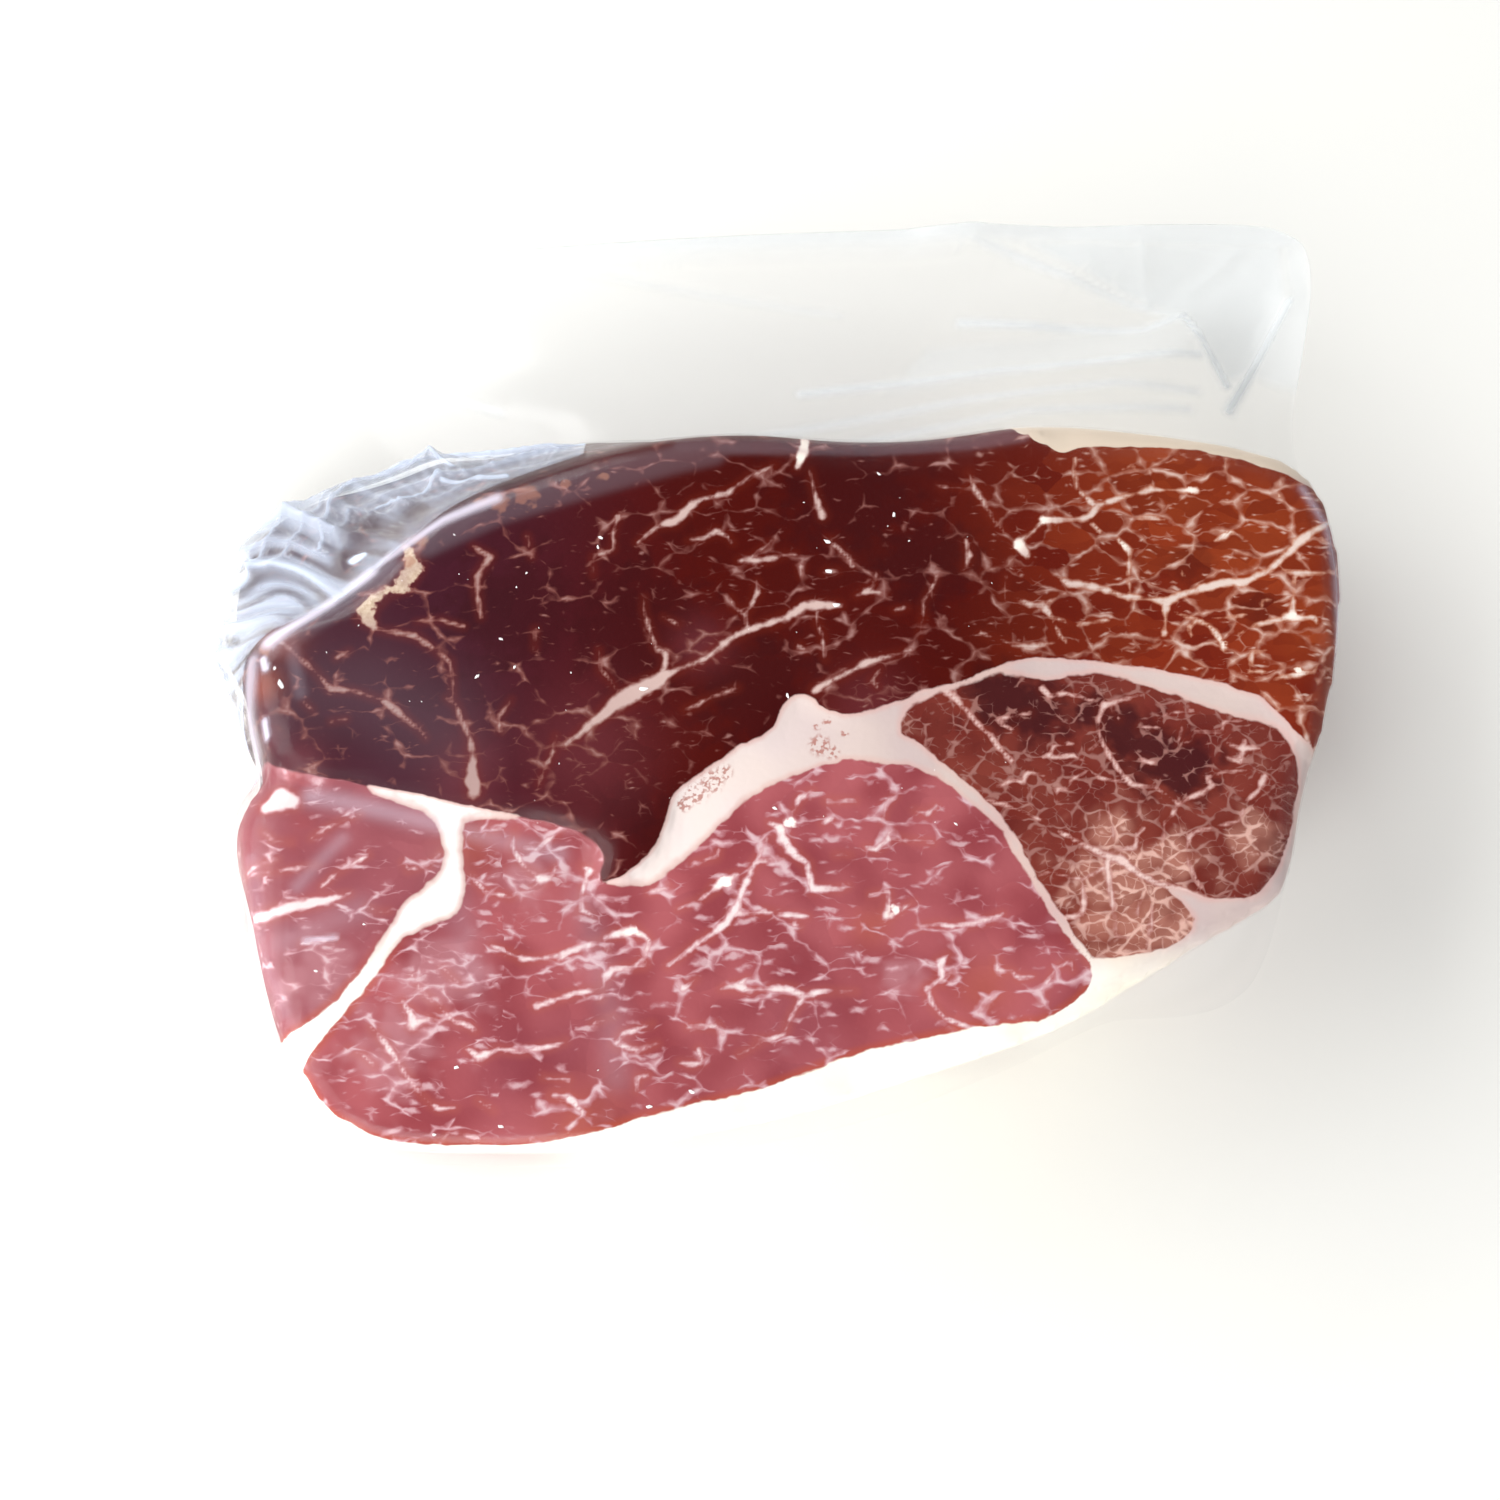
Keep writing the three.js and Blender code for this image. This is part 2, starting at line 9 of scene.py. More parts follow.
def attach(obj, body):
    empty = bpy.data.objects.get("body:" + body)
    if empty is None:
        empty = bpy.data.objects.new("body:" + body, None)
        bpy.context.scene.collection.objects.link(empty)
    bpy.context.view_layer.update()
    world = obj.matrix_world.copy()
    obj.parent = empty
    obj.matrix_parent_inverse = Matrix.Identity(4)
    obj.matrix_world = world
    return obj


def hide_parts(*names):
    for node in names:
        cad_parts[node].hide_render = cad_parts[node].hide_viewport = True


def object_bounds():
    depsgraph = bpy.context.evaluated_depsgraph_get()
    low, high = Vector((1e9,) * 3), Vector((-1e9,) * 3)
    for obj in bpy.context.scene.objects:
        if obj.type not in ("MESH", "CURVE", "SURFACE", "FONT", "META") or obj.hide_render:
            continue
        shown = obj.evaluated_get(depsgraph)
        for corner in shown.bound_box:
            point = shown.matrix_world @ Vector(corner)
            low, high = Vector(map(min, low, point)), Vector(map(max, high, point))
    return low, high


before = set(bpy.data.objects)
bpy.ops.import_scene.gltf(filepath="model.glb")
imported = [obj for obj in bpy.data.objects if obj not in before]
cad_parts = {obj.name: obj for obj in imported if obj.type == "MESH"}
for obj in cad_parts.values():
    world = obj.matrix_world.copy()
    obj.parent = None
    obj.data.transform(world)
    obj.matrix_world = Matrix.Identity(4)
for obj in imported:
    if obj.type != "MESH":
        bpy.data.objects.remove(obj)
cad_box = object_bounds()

# Table, daylight and camera. The pack lies on a pale table in soft daylight from the left and from
# behind, and is seen from above, a little from the front. The camera looks at the middle of the
# cut face, from which all places on that face are counted, in millimetres.
MM = 0.001
BAG_LEFT_END = -172.4 * MM          # from the middle of the cut face
BAG_BACK_END = 141.3 * MM
FACE_HEIGHT = 60 * MM
face_middle = Vector((cad_box[0].x - BAG_LEFT_END, cad_box[1].y - BAG_BACK_END, FACE_HEIGHT))

CAMERA_ELEVATION = math.radians(74)
CAMERA_DISTANCE = 583.3 * MM
CAMERA_LENS = 70
away = Vector((0, -math.cos(CAMERA_ELEVATION), math.sin(CAMERA_ELEVATION)))
bpy.ops.object.camera_add(
    location=face_middle + CAMERA_DISTANCE * away,
    rotation=(math.pi / 2 - CAMERA_ELEVATION, 0, 0),
)
camera = bpy.context.object
camera.data.lens = CAMERA_LENS
bpy.context.scene.camera = camera
bpy.context.scene.view_settings.view_transform = "Standard"


def linear(hex_colour):
    """The linear colour of an sRGB hex value such as #5a1a1a."""
    parts = [int(hex_colour[i:i + 2], 16) / 255 for i in (1, 3, 5)]
    return [c / 12.92 if c <= 0.04045 else ((c + 0.055) / 1.055) ** 2.4 for c in parts] + [1]


def add(tree, kind, inputs=None, **settings):
    """Adds a node, sets its properties, and fills its inputs with values or other nodes."""
    made = tree.nodes.new("ShaderNode" + kind)
    for name, value in settings.items():
        setattr(made, name, value)
    for name, value in (inputs or {}).items():
        if isinstance(name, int):
            socket = made.inputs[name]
        else:
            socket = [s for s in made.inputs if s.enabled and s.name == name][0]
        if isinstance(value, bpy.types.Node):
            value = [s for s in value.outputs if s.enabled][0]
        if isinstance(value, bpy.types.NodeSocket):
            tree.links.new(value, socket)
        else:
            socket.default_value = value
    return made


def new_material(name):
    """An empty material with its output node."""
    material = bpy.data.materials.new(name)
    material.use_nodes = True
    material.node_tree.nodes.clear()
    output = material.node_tree.nodes.new("ShaderNodeOutputMaterial")
    return material, material.node_tree, output.inputs["Surface"]


# Matt white melamine, a little off white
TABLE_SIZE = 6
bpy.ops.mesh.primitive_plane_add(size=TABLE_SIZE)
table = bpy.context.object
table.name = "table_top"
white_melamine, tree, surface = new_material("matt_white_melamine")
matt = add(tree, "BsdfPrincipled", {"Base Color": linear("#f0efe9"), "Roughness": 0.55})
tree.links.new(matt.outputs[0], surface)
table.data.materials.append(white_melamine)

DAYLIGHTS = {
    # name: place from the middle of the cut face, width and height, and power
    "window_left": {"place": (-0.8, 0.1, 0.55), "width": 1.0, "height": 0.9, "power": 9.2},
    "window_back_left": {"place": (-0.62, 1.0, 0.55), "width": 0.8, "height": 0.6, "power": 7},
    "window_front": {"place": (-0.3, -0.95, 0.65), "width": 1.1, "height": 0.8, "power": 13},
    "pale_wall_right": {"place": (1.1, -0.1, 0.6), "width": 1.0, "height": 1.0, "power": 0.8},
}
for name, light in DAYLIGHTS.items():
    place = Vector(light["place"])
    bpy.ops.object.light_add(type="AREA", location=face_middle + place)
    window = bpy.context.object
    window.name = name
    window.rotation_euler = place.to_track_quat("Z", "Y").to_euler()
    window.data.shape = "RECTANGLE"
    window.data.size = light["width"]
    window.data.size_y = light["height"]
    window.data.energy = light["power"]

# The walls are bright and the ceiling is dim, so the film mirrors nothing bright from above
world = bpy.data.worlds.new("bright_walls_dim_ceiling")
world.use_nodes = True
tree = world.node_tree
upward = add(tree, "SeparateXYZ", {"Vector": add(tree, "TexCoord").outputs["Generated"]})
tree.links.new(
    add(tree, "MapRange", {
        "Value": upward.outputs["Z"], "From Min": 0.66, "From Max": 0.9,
        "To Min": 0.68, "To Max": 0.035,
    }, interpolation_type="SMOOTHSTEP").outputs[0],
    tree.nodes["Background"].inputs["Strength"],
)
tree.nodes["Background"].inputs["Color"].default_value = linear("#f6f9ff")
bpy.context.scene.world = world


# The ham block. A boned ham cut across: dark, pink and marbled muscles with seams of fat between
# them and a cap of fat in front, all one body of meat. The solids of the frame give its form; they
# are swollen until their gaps close, joined into one skin and made finer on the cut face.
LEAN_NODES = {
    "upper": "lean_upper",
    "upper_left": "lean_upper_left",
    "round": "lean_round",
    "lower": "lean_lower",
    "left": "lean_left",
}
FAT_NODES = ["fat_seams_and_cap", "fat_back_cap"]
MERGE_WITHIN = 0.002 * MM           # corners this close are one corner
GAP_FILL = 0.25 * MM                # more than half the gap between two solids
HAM_VOXEL = 2.55 * MM
FACE_SLOPE = 0.3                    # faces that look up more than this belong to the cut face
FACE_LOWEST = 49 * MM
FILM_UNDER_HAM = 0.3 * MM           # the film between the ham and the table


def pick(piece, *others):
    """Selects these pieces alone and makes the first of them active."""
    bpy.ops.object.select_all(action="DESELECT")
    for chosen in (piece, *others):
        chosen.select_set(True)
    bpy.context.view_layer.objects.active = piece


def merged_copies(names, title):
    """One new object with the shapes of some frame nodes, their doubled corners merged."""
    copies = []
    for name in names:
        copies.append(bpy.data.objects.new(title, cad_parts[name].data.copy()))
        copies[-1].data.materials.clear()
        bpy.context.collection.objects.link(copies[-1])
    pick(*reversed(copies))
    bpy.ops.object.join()
    piece = bpy.context.object
    bpy.ops.object.mode_set(mode="EDIT")
    bpy.ops.mesh.select_all(action="SELECT")
    bpy.ops.mesh.remove_doubles(threshold=MERGE_WITHIN)
    bpy.ops.object.mode_set(mode="OBJECT")
    piece.name = title
    return piece


def modify(piece, kind, **settings):
    """Puts a modifier on a piece and applies it."""
    pick(piece)
    modifier = piece.modifiers.new(kind.lower(), kind)
    for name, value in settings.items():
        setattr(modifier, name, value)
    bpy.ops.object.modifier_apply(modifier=modifier.name)


def corners(piece):
    """The places of all corners of a piece, one row each."""
    places = np.empty(len(piece.data.vertices) * 3)
    piece.data.vertices.foreach_get("co", places)
    return places.reshape(-1, 3)


def move_corners(piece, places):
    piece.data.vertices.foreach_set("co", places.ravel())
    piece.data.update()


def keep(piece, name, numbers):
    """Keeps a number on every corner of a piece, for its material to read."""
    attribute = piece.data.attributes.new(name, "FLOAT", "POINT")
    attribute.data.foreach_set("value", numbers.astype(np.float32))


def search_shape(mesh):
    """A mesh as a shape in which the nearest place is quickly found."""
    return BVHTree.FromPolygons([v.co for v in mesh.vertices], [p.vertices for p in mesh.polygons])


def faces(piece):
    """The normals and the middles of all faces of a piece, one row each."""
    normals = np.empty(len(piece.data.polygons) * 3)
    centres = np.empty(len(piece.data.polygons) * 3)
    piece.data.polygons.foreach_get("normal", normals)
    piece.data.polygons.foreach_get("center", centres)
    return normals.reshape(-1, 3), centres.reshape(-1, 3)


def divide(piece, chosen, cuts):
    """Divides the chosen faces of the active piece into smaller ones."""
    bpy.ops.object.mode_set(mode="EDIT")
    bpy.ops.mesh.select_mode(type="FACE")
    bpy.ops.mesh.select_all(action="DESELECT")
    bpy.ops.object.mode_set(mode="OBJECT")
    piece.data.polygons.foreach_set("select", chosen)
    bpy.ops.object.mode_set(mode="EDIT")
    bpy.ops.mesh.subdivide(number_cuts=cuts)
    bpy.ops.object.mode_set(mode="OBJECT")


ham = merged_copies([*LEAN_NODES.values(), *FAT_NODES], "ham_block")
modify(ham, "DISPLACE", strength=GAP_FILL, mid_level=0)
modify(ham, "REMESH", mode="VOXEL", voxel_size=HAM_VOXEL)
modify(ham, "SMOOTH", factor=0.5, iterations=2)
block_form = ham.data.copy()        # the film is drawn over this form

# The cut face is divided again, so that fine veins have an edge
normals, centres = faces(ham)
divide(ham, (normals[:, 2] > FACE_SLOPE) & (centres[:, 2] > FACE_LOWEST), cuts=3)
modify(ham, "SMOOTH", factor=0.5, iterations=2)
places = corners(ham)
places[:, 2] = np.maximum(places[:, 2], FILM_UNDER_HAM)
move_corners(ham, places)
bpy.ops.object.shade_smooth()

# Where each muscle ends is read off the frame's solids, as distances in millimetres that are
# positive inside the muscle or the fat and negative outside it. The material draws its borders
# from them, so the seams run right through the block and down its sides.
HAM_LEAN = (-8, 10)                 # how far the underside lies from under the cut face
FARTHEST = 40 * MM
places = corners(ham)


def distances(names):
    """Distance of every corner of the block to the nearest of some frame nodes, in millimetres."""
    nearest = np.full(len(places), FARTHEST)
    for name in names:
        shape = search_shape(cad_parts[name].data)
        for i, place in enumerate(places):
            found = shape.find_nearest(Vector(place), nearest[i])
            if found[0] is not None:
                nearest[i] = found[3]
    return nearest / MM


to_muscle = {muscle: distances([name]) for muscle, name in LEAN_NODES.items()}
to_fat = distances(FAT_NODES)
to_dark = np.minimum(to_muscle["upper"], to_muscle["upper_left"])
to_pink = np.minimum(to_muscle["lower"], to_muscle["left"])
to_lean = np.minimum(np.minimum(to_dark, to_pink), to_muscle["round"])
borders = {
    "fat_depth": to_lean - to_fat,
    "pink_depth": np.minimum(to_dark, to_muscle["round"]) - to_pink,
    "round_depth": np.minimum(to_dark, to_pink) - to_muscle["round"],
    "left_depth": to_muscle["lower"] - to_muscle["left"],
}

# Veins of fat that can be told apart, in each muscle, as (x, y, width) along each vein, in
# millimetres from the middle of the cut face. They thin out down the sides.
VEINS = [
    # Large dark muscle along the back
    [(5, 61, 0.7), (0, 58.5, 0.8), (-4.5, 55, 0.8), (-9.5, 53.5, 1.2), (-11.5, 52.5, 2.0),
     (-15.5, 48.5, 2.3), (-19, 47.5, 0.7), (-23, 44, 0.5)],
    [(18, 30.5, 1.4), (11, 30.5, 2.4), (7.5, 28, 1.9), (3.5, 26.5, 1.7), (0, 25.5, 1.5),
     (-4, 23.5, 1.5), (-8.5, 19.5, 1.3), (-13, 17.5, 1.0), (-17, 16, 2.4), (-19.5, 14, 3.9),
     (-23.5, 12, 4.3), (-27, 9.5, 3.9), (-30, 7, 2.4), (-33.5, 4, 1.3), (-37, 1, 0.8)],
    [(-21.5, 32, 0.7), (-21.5, 29.5, 0.6), (-20, 24.5, 0.8), (-19, 21.5, 0.8), (-17, 20.5, 1.1),
     (-17, 17, 1.6), (-18.5, 15.5, 1.2)],
    [(12, 67.5, 2.6), (11, 64, 2.6), (9.8, 60.6, 1.4)],
    [(12.5, 60, 0.8), (13, 56.5, 1.1), (14, 53, 1.3), (15, 50, 1.9)],
    [(-7, 46.5, 1.3), (-9.5, 45, 0.7), (-12.5, 44.5, 0.3)],
    [(-7, 46.5, 1.2), (-4.5, 45.5, 0.7), (-3.5, 44, 0.4)],
    [(4.5, 44.5, 0.2), (0.5, 41, 0.7), (-2, 40, 1.2), (4, 40.5, 1.3), (7, 41.5, 0.4),
     (9.5, 41.5, 0.2)],
    [(16.5, 44.5, 1.3), (18, 43, 0.7), (20, 41, 0.9), (21, 39, 1.1)],
    [(15, 37.5, 0.5), (16, 38, 0.8), (18, 38, 0.4)],
    [(10.5, 39, 1.2), (10.5, 37, 0.6)],
    [(25.5, 37, 0.5), (25, 34.5, 0.9), (23.5, 33.5, 1.3), (21.5, 32.5, 0.4)],
    [(23.5, 33.5, 1.0), (27.5, 33, 0.2)],
    [(1.5, 35.5, 0.6), (1.5, 33.5, 1.0), (0.5, 31, 0.5), (-1, 28.5, 0.5), (-3, 30, 0.4),
     (-4, 32, 0.6)],
    [(-1, 28.5, 0.5), (-0.5, 26, 0.8)],
    [(-17.5, 28, 0.2), (-14.5, 26.5, 0.9)],
    [(-30.5, 21, 0.4), (-30, 17, 1.0), (-28.5, 15, 0.4), (-27, 13, 0.2)],
    [(-27, 49.5, 0.9), (-28, 46.5, 0.4), (-28, 42.5, 0.6), (-32, 41, 0.4), (-32, 37, 0.5)],
    [(-13, 8.5, 0.5), (-10.5, 9.5, 1.0), (-8, 11, 0.2), (-4, 12.5, 0.4), (-2.5, 13, 0.8)],
    [(13.5, 29, 0.5), (13.5, 27, 0.4), (14.5, 24.5, 0.5), (15, 19, 0.2)],
    [(10, 21.5, 1.2), (11, 21, 0.7)],
    [(29.5, 29.5, 1.0), (31.5, 30, 0.5)],
    [(38, 37, 1.0), (37, 34.5, 0.5), (35, 31, 0.5), (35, 28.5, 0.5), (34, 24, 0.3)],
    [(32.5, 21, 0.4), (28, 19.5, 0.9), (24, 18.5, 1.6), (19.5, 16, 1.3), (15.5, 14, 1.3),
     (13, 12.5, 1.9)],
    [(26, 17, 0.5), (24.5, 14.5, 1.2), (25.5, 13, 0.4)],
    [(-56.5, 43.5, 0.4), (-53, 41, 1.4), (-55.5, 37, 1.3), (-55.5, 34, 1.2), (-54.5, 28, 0.4)],
    [(-67.5, 27, 0.3), (-62.5, 27.5, 0.6), (-58, 26, 0.4)],
    [(-45.5, 45.5, 0.5), (-44.5, 41, 0.6)],
    [(-43.5, 25.5, 0.6), (-43.5, 21.5, 0.4)],
    # Darkest muscle in the back left corner
    [(-97, 24.5, 1.2), (-93.5, 22, 1.0), (-91, 19.5, 1.2), (-87.5, 16.5, 0.7), (-84.5, 13, 1.3),
     (-79.5, 12.5, 0.6), (-74, 10.5, 0.6), (-72, 9, 1.9), (-69.5, 7, 1.3), (-66.5, 4.5, 0.5),
     (-65, 2.5, 0.3)],
    [(-76, 25.5, 0.4), (-72, 25, 1.1), (-67.5, 24, 1.4), (-64, 21.5, 0.6), (-60.5, 18.5, 1.0),
     (-60, 15.5, 0.5), (-59.5, 10.5, 0.7)],
    [(-61, 11, 0.7), (-59, 9.5, 0.8), (-57.5, 6, 0.6), (-56, 2, 1.0), (-55.5, -2, 1.6),
     (-55.5, -5.5, 2.7), (-55, -8.5, 3.4)],
    [(-50, 4, 0.6), (-50.5, 6.5, 0.5), (-48, 10.5, 0.3)],
    [(-39, 3, 0.5), (-39.5, -1, 1.0), (-41, -4, 0.4), (-42, -7, 0.4)],
    [(-89.5, 10, 0.8), (-88, 8.5, 0.5)],
    [(-84, 6, 0.3), (-81, 6.5, 0.5)],
    [(-83.5, 19.5, 0.7), (-81, 21, 0.4)],
    [(-70.5, 44.5, 2.4), (-68.5, 39, 4.8), (-70.5, 35.5, 4.8), (-74, 33.5, 2.9)],
    [(-74, 33.5, 2.9), (-77.5, 31, 5.3), (-78, 28.5, 4.3), (-76, 26, 1.4)],
    # Right end of the large dark muscle
    [(119.5, 49, 1.2), (115, 46.5, 1.2), (112, 44, 2.3), (109, 41, 1.5), (106, 38, 1.3),
     (101.5, 36, 1.4), (96.5, 35.5, 2.1), (91, 34, 1.2), (88, 33, 1.3), (84.5, 31.5, 2.3),
     (80.5, 32, 0.7), (76.5, 32.5, 1.4), (72, 34, 1.7), (68, 35, 1.7), (65, 35, 2.1),
     (62, 37, 0.4)],
    [(120.5, 38, 1.0), (116.5, 37.5, 1.0), (111.5, 37.5, 1.3), (108, 38.5, 0.5)],
    [(84.5, 31.5, 1.5), (84.5, 28, 0.9), (84, 24.5, 1.3)],
    [(67, 62.5, 0.9), (66.5, 59.5, 1.1), (67, 56, 1.0), (68.5, 54, 1.2), (71, 52, 1.5),
     (75, 53.5, 1.0), (78.5, 54.5, 1.0), (82.5, 55.5, 1.3), (86.5, 55.5, 0.6), (91.5, 55.5, 1.7)],
    [(71, 52, 1.3), (70, 50, 1.3), (68, 49, 1.3), (64, 49, 1.1), (60, 49, 2.1)],
    [(70, 48, 1.0), (71.5, 46.5, 0.6)],
    [(60, 49, 1.0), (57.5, 46, 0.8), (54.5, 44, 2.3), (56.5, 41, 1.8)],
    [(45, 59.5, 0.4), (46, 56, 1.0), (47.5, 53.5, 1.0), (49.5, 49.5, 0.7), (52, 46, 0.4)],
    [(39, 56.5, 0.3), (42, 56, 0.3), (45.5, 56, 0.4)],
    [(75.5, 44.5, 1.2), (77, 43, 1.8), (77.5, 40.5, 1.0), (77, 37, 0.8), (77.5, 33, 0.7)],
    [(79.5, 49.5, 0.8), (81, 49.5, 1.1), (85, 49, 0.4)],
    [(54, 32, 0.5), (57, 30.5, 1.0), (59.5, 30.5, 1.7), (61, 28, 0.8), (64, 27, 0.8)],
    [(59.5, 30.5, 1.0), (62, 32, 0.7)],
    [(61, 27.5, 0.5), (62.5, 24.5, 0.8), (64, 22.5, 0.8)],
    [(72.5, 27.5, 0.9), (66.5, 26.5, 0.3)],
    [(86.5, 29, 0.3), (91, 27.5, 1.0), (93.5, 26, 1.3), (95.5, 23, 1.2), (96, 21.5, 1.6)],
    [(91, 27.5, 0.7), (89, 26, 0.6), (89.5, 24, 0.3)],
    [(94, 28, 0.5), (101, 28.5, 0.8)],
    [(111, 37, 0.8), (110.5, 31.5, 0.8), (110, 28.5, 2.3), (107.5, 27.5, 1.0), (102.5, 26.5, 0.4),
     (99, 24.5, 0.4)],
    [(110, 28, 1.3), (114.5, 28, 0.8), (115.5, 26, 0.4)],
    [(104, 30.5, 0.6), (104, 31.5, 0.5), (106, 32, 0.4), (107, 31, 0.4)],
    [(104, 16.5, 0.3), (101, 16.5, 0.7), (101.5, 20.5, 0.5), (104.5, 21, 0.3)],
    [(105.5, 15, 0.5), (111, 16, 1.4), (114, 16.5, 0.5), (115, 18.5, 0.3)],
    [(95, 44.5, 0.7), (98.5, 46.5, 1.7)],
    [(88, 38, 0.8), (88.5, 37, 0.6)],
    [(117, 45, 0.7), (118, 44, 0.7)],
    [(76.5, 60, 0.4), (78.5, 61, 0.6), (80, 59.5, 0.4)],
    [(46.5, 24.5, 0.2), (53, 22, 0.7), (56.5, 21.5, 1.6), (61.5, 22.5, 0.4)],
    [(44, 44.5, 0.7), (44.5, 41, 1.3), (43.5, 38, 0.5)],
    [(52, 36.5, 0.8), (51.5, 32, 0.3)],
    [(56, 54, 0.6), (52.5, 55.5, 0.6)],
    # Round marbled muscle
    [(39.5, 12, 2.1), (41.5, 10.5, 1.7), (43.5, 8.5, 1.4), (46, 5, 1.2), (48, 3.5, 1.2),
     (50, 0.5, 0.9), (52.5, -2, 1.2)],
    [(59, 13, 1.3), (60.5, 11.5, 1.2), (64, 12, 0.7), (69.5, 10.5, 0.4)],
    [(80, 12, 0.5), (74.5, 10.5, 0.6), (71.5, 9.5, 2.1), (70.5, 7, 0.8), (70, 4.5, 0.5),
     (71, 1.5, 0.7), (72.5, -1.5, 0.9), (74, -4, 0.9), (76.5, -7, 0.7), (81, -7.5, 0.7),
     (83, -9, 0.8), (85.5, -11, 1.1)],
    [(73, 8.5, 0.8), (74.5, 6.5, 0.4)],
    [(85.5, -11, 0.9), (89.5, -9, 0.9), (92.5, -7.5, 0.8), (91.5, -5.5, 0.7), (94.5, -4.5, 0.4),
     (99.5, -4, 0.4)],
    [(85.5, -11, 0.9), (84, -13.5, 0.7), (82.5, -15, 0.5), (82, -20.5, 0.4)],
    [(78, 5, 0.6), (82, 5, 0.6), (83.5, 4.5, 0.4)],
    [(82, 6.5, 0.4), (85, 8, 0.5), (89.5, 8.5, 0.6)],
    [(84.5, 3.5, 0.4), (87, 5, 0.8), (86, 1.5, 0.3), (88.5, 2, 0.4), (89.5, 4, 0.4),
     (95, 4, 0.8)],
    [(95, 4, 1.1), (95.5, 6, 0.8), (99.5, 6.5, 0.5)],
    [(96, 1.5, 0.8), (99, 0.5, 1.3), (102.5, 0.5, 0.7)],
    [(99.5, 2, 0.5), (99, 0.5, 1.0), (98.5, -2.5, 0.6), (96, -1.5, 0.4)],
    [(103, -5.5, 1.3), (101.5, -8.5, 1.0), (99.5, -10, 0.7)],
    [(77, -1.5, 0.6), (80.5, -2.5, 1.0)],
    [(61.5, -16.5, 0.7), (64.5, -18.5, 1.0), (67.5, -20, 1.1), (70.5, -21.5, 2.3),
     (73.5, -22.5, 2.3), (76.5, -25, 1.8), (80, -27, 1.4), (83, -28, 1.7), (86.5, -30, 3.1),
     (91, -32, 4.1)],
    [(71, -22.5, 1.5), (71, -26, 1.0), (71.5, -29.5, 1.1), (72, -33.5, 1.0), (72, -36.5, 0.7)],
    [(72.5, -20, 0.7), (72.5, -17, 0.5), (71.5, -13.5, 0.5), (71.5, -10.5, 0.3)],
    [(73, -20.5, 0.5), (76.5, -20, 0.7), (77, -17.5, 0.5), (78.5, -16, 0.4)],
    [(70.5, -24, 0.9), (66, -26.5, 0.7), (64, -26, 0.5), (59.5, -25, 0.5), (57, -26, 0.3)],
    [(66, -27, 0.7), (66, -31, 1.0), (65.5, -33.5, 1.4), (62, -34.5, 1.1)],
    [(49.5, -7.5, 0.4), (52, -6.5, 0.4), (55, -6.5, 0.9), (55.5, -4.5, 0.7), (59, -5, 0.4)],
    [(55, -6.5, 0.5), (56, -8.5, 0.5), (56.5, -10, 0.3)],
    [(61, -11, 0.4), (61.5, -8, 0.4), (63.5, -8, 0.7), (64.5, -6, 0.5), (68, -4, 0.5),
     (70, -5.5, 0.7), (76, -7, 0.4)],
    [(49.5, 6.5, 0.7), (56.5, 8, 0.3)],
    [(49.5, 6.5, 0.6), (50.5, 5.5, 0.4), (53.5, 4, 0.3)],
    [(59, -1.5, 0.4), (60.5, -0.5, 0.6), (61, 1, 0.5), (65, 1.5, 0.3)],
    [(60.5, -1.5, 0.6), (65, -1, 0.4), (67.5, -2.5, 0.3)],
    [(68, 0, 0.5), (70, 1.5, 0.7)],
    [(43, -8.5, 0.3), (46.5, -10, 0.9), (53, -12, 0.6), (58.5, -14.5, 0.3)],
    [(66.5, -14.5, 0.3), (69.5, -14.5, 0.5), (70, -12, 0.4)],
    [(98.5, -12, 0.4), (97.5, -14.5, 0.5), (89, -16.5, 0.4), (87.5, -17.5, 0.5),
     (86.5, -21.5, 0.4), (88, -26, 0.7), (89.5, -28, 0.4)],
    [(79.5, -32, 0.6), (79, -36.5, 0.7), (78, -40, 0.4)],
    [(72, -33.5, 0.6), (76.5, -33.5, 0.5), (77, -31, 0.4)],
    [(72.5, -38, 0.5), (76.5, -38.5, 0.5)],
    # Large pink muscle
    [(-28.5, -46, 0.5), (-27, -44.5, 0.7), (-23, -44, 0.5), (-20.5, -42.5, 0.5),
     (-19.5, -39, 0.6), (-20.5, -38, 1.0), (-23, -37, 2.9), (-26, -37.5, 1.9),
     (-28.5, -38.5, 0.7), (-28, -41.5, 0.5)],
    [(-37, -42.5, 1.2), (-35, -41, 1.0), (-32.5, -40, 0.8), (-28.5, -38.5, 0.7)],
    [(-33, -23.5, 0.5), (-31.5, -24.5, 1.1), (-32.5, -27, 0.7), (-33, -30.5, 0.7),
     (-33, -32.5, 1.7), (-30.5, -34, 0.3)],
    [(4, -15, 0.7), (6, -16, 2.1), (6.5, -18, 2.6), (8, -20.5, 2.1), (11.5, -23.5, 1.3),
     (12, -26.5, 1.0), (12.5, -28.5, 1.2), (17.5, -28.5, 1.0), (19.5, -28, 0.4)],
    [(3.5, -18, 0.3), (2, -21.5, 0.5), (0.5, -24.5, 0.9), (-1, -28, 1.3), (-2.5, -32, 1.5),
     (-4.5, -35.5, 1.3), (-8, -38, 1.0), (-11.5, -40.5, 0.6), (-16, -44, 0.7)],
    [(-2.5, -33.5, 0.8), (1, -33.5, 0.5), (3, -33, 1.0), (5.5, -33.5, 0.6), (11.5, -34, 0.3)],
    [(1.5, -23, 0.7), (4, -22.5, 0.6), (6.5, -22.5, 0.3)],
    [(-14, -32.5, 0.4), (-9.5, -30.5, 0.4), (-7, -28.5, 1.4), (-5.5, -27, 2.1),
     (-2.5, -25.5, 0.7)],
    [(12.5, -8.5, 1.0), (10, -10, 0.8), (8.5, -13, 0.6)],
    [(15.5, -10.5, 1.2), (21, -10.5, 0.2)],
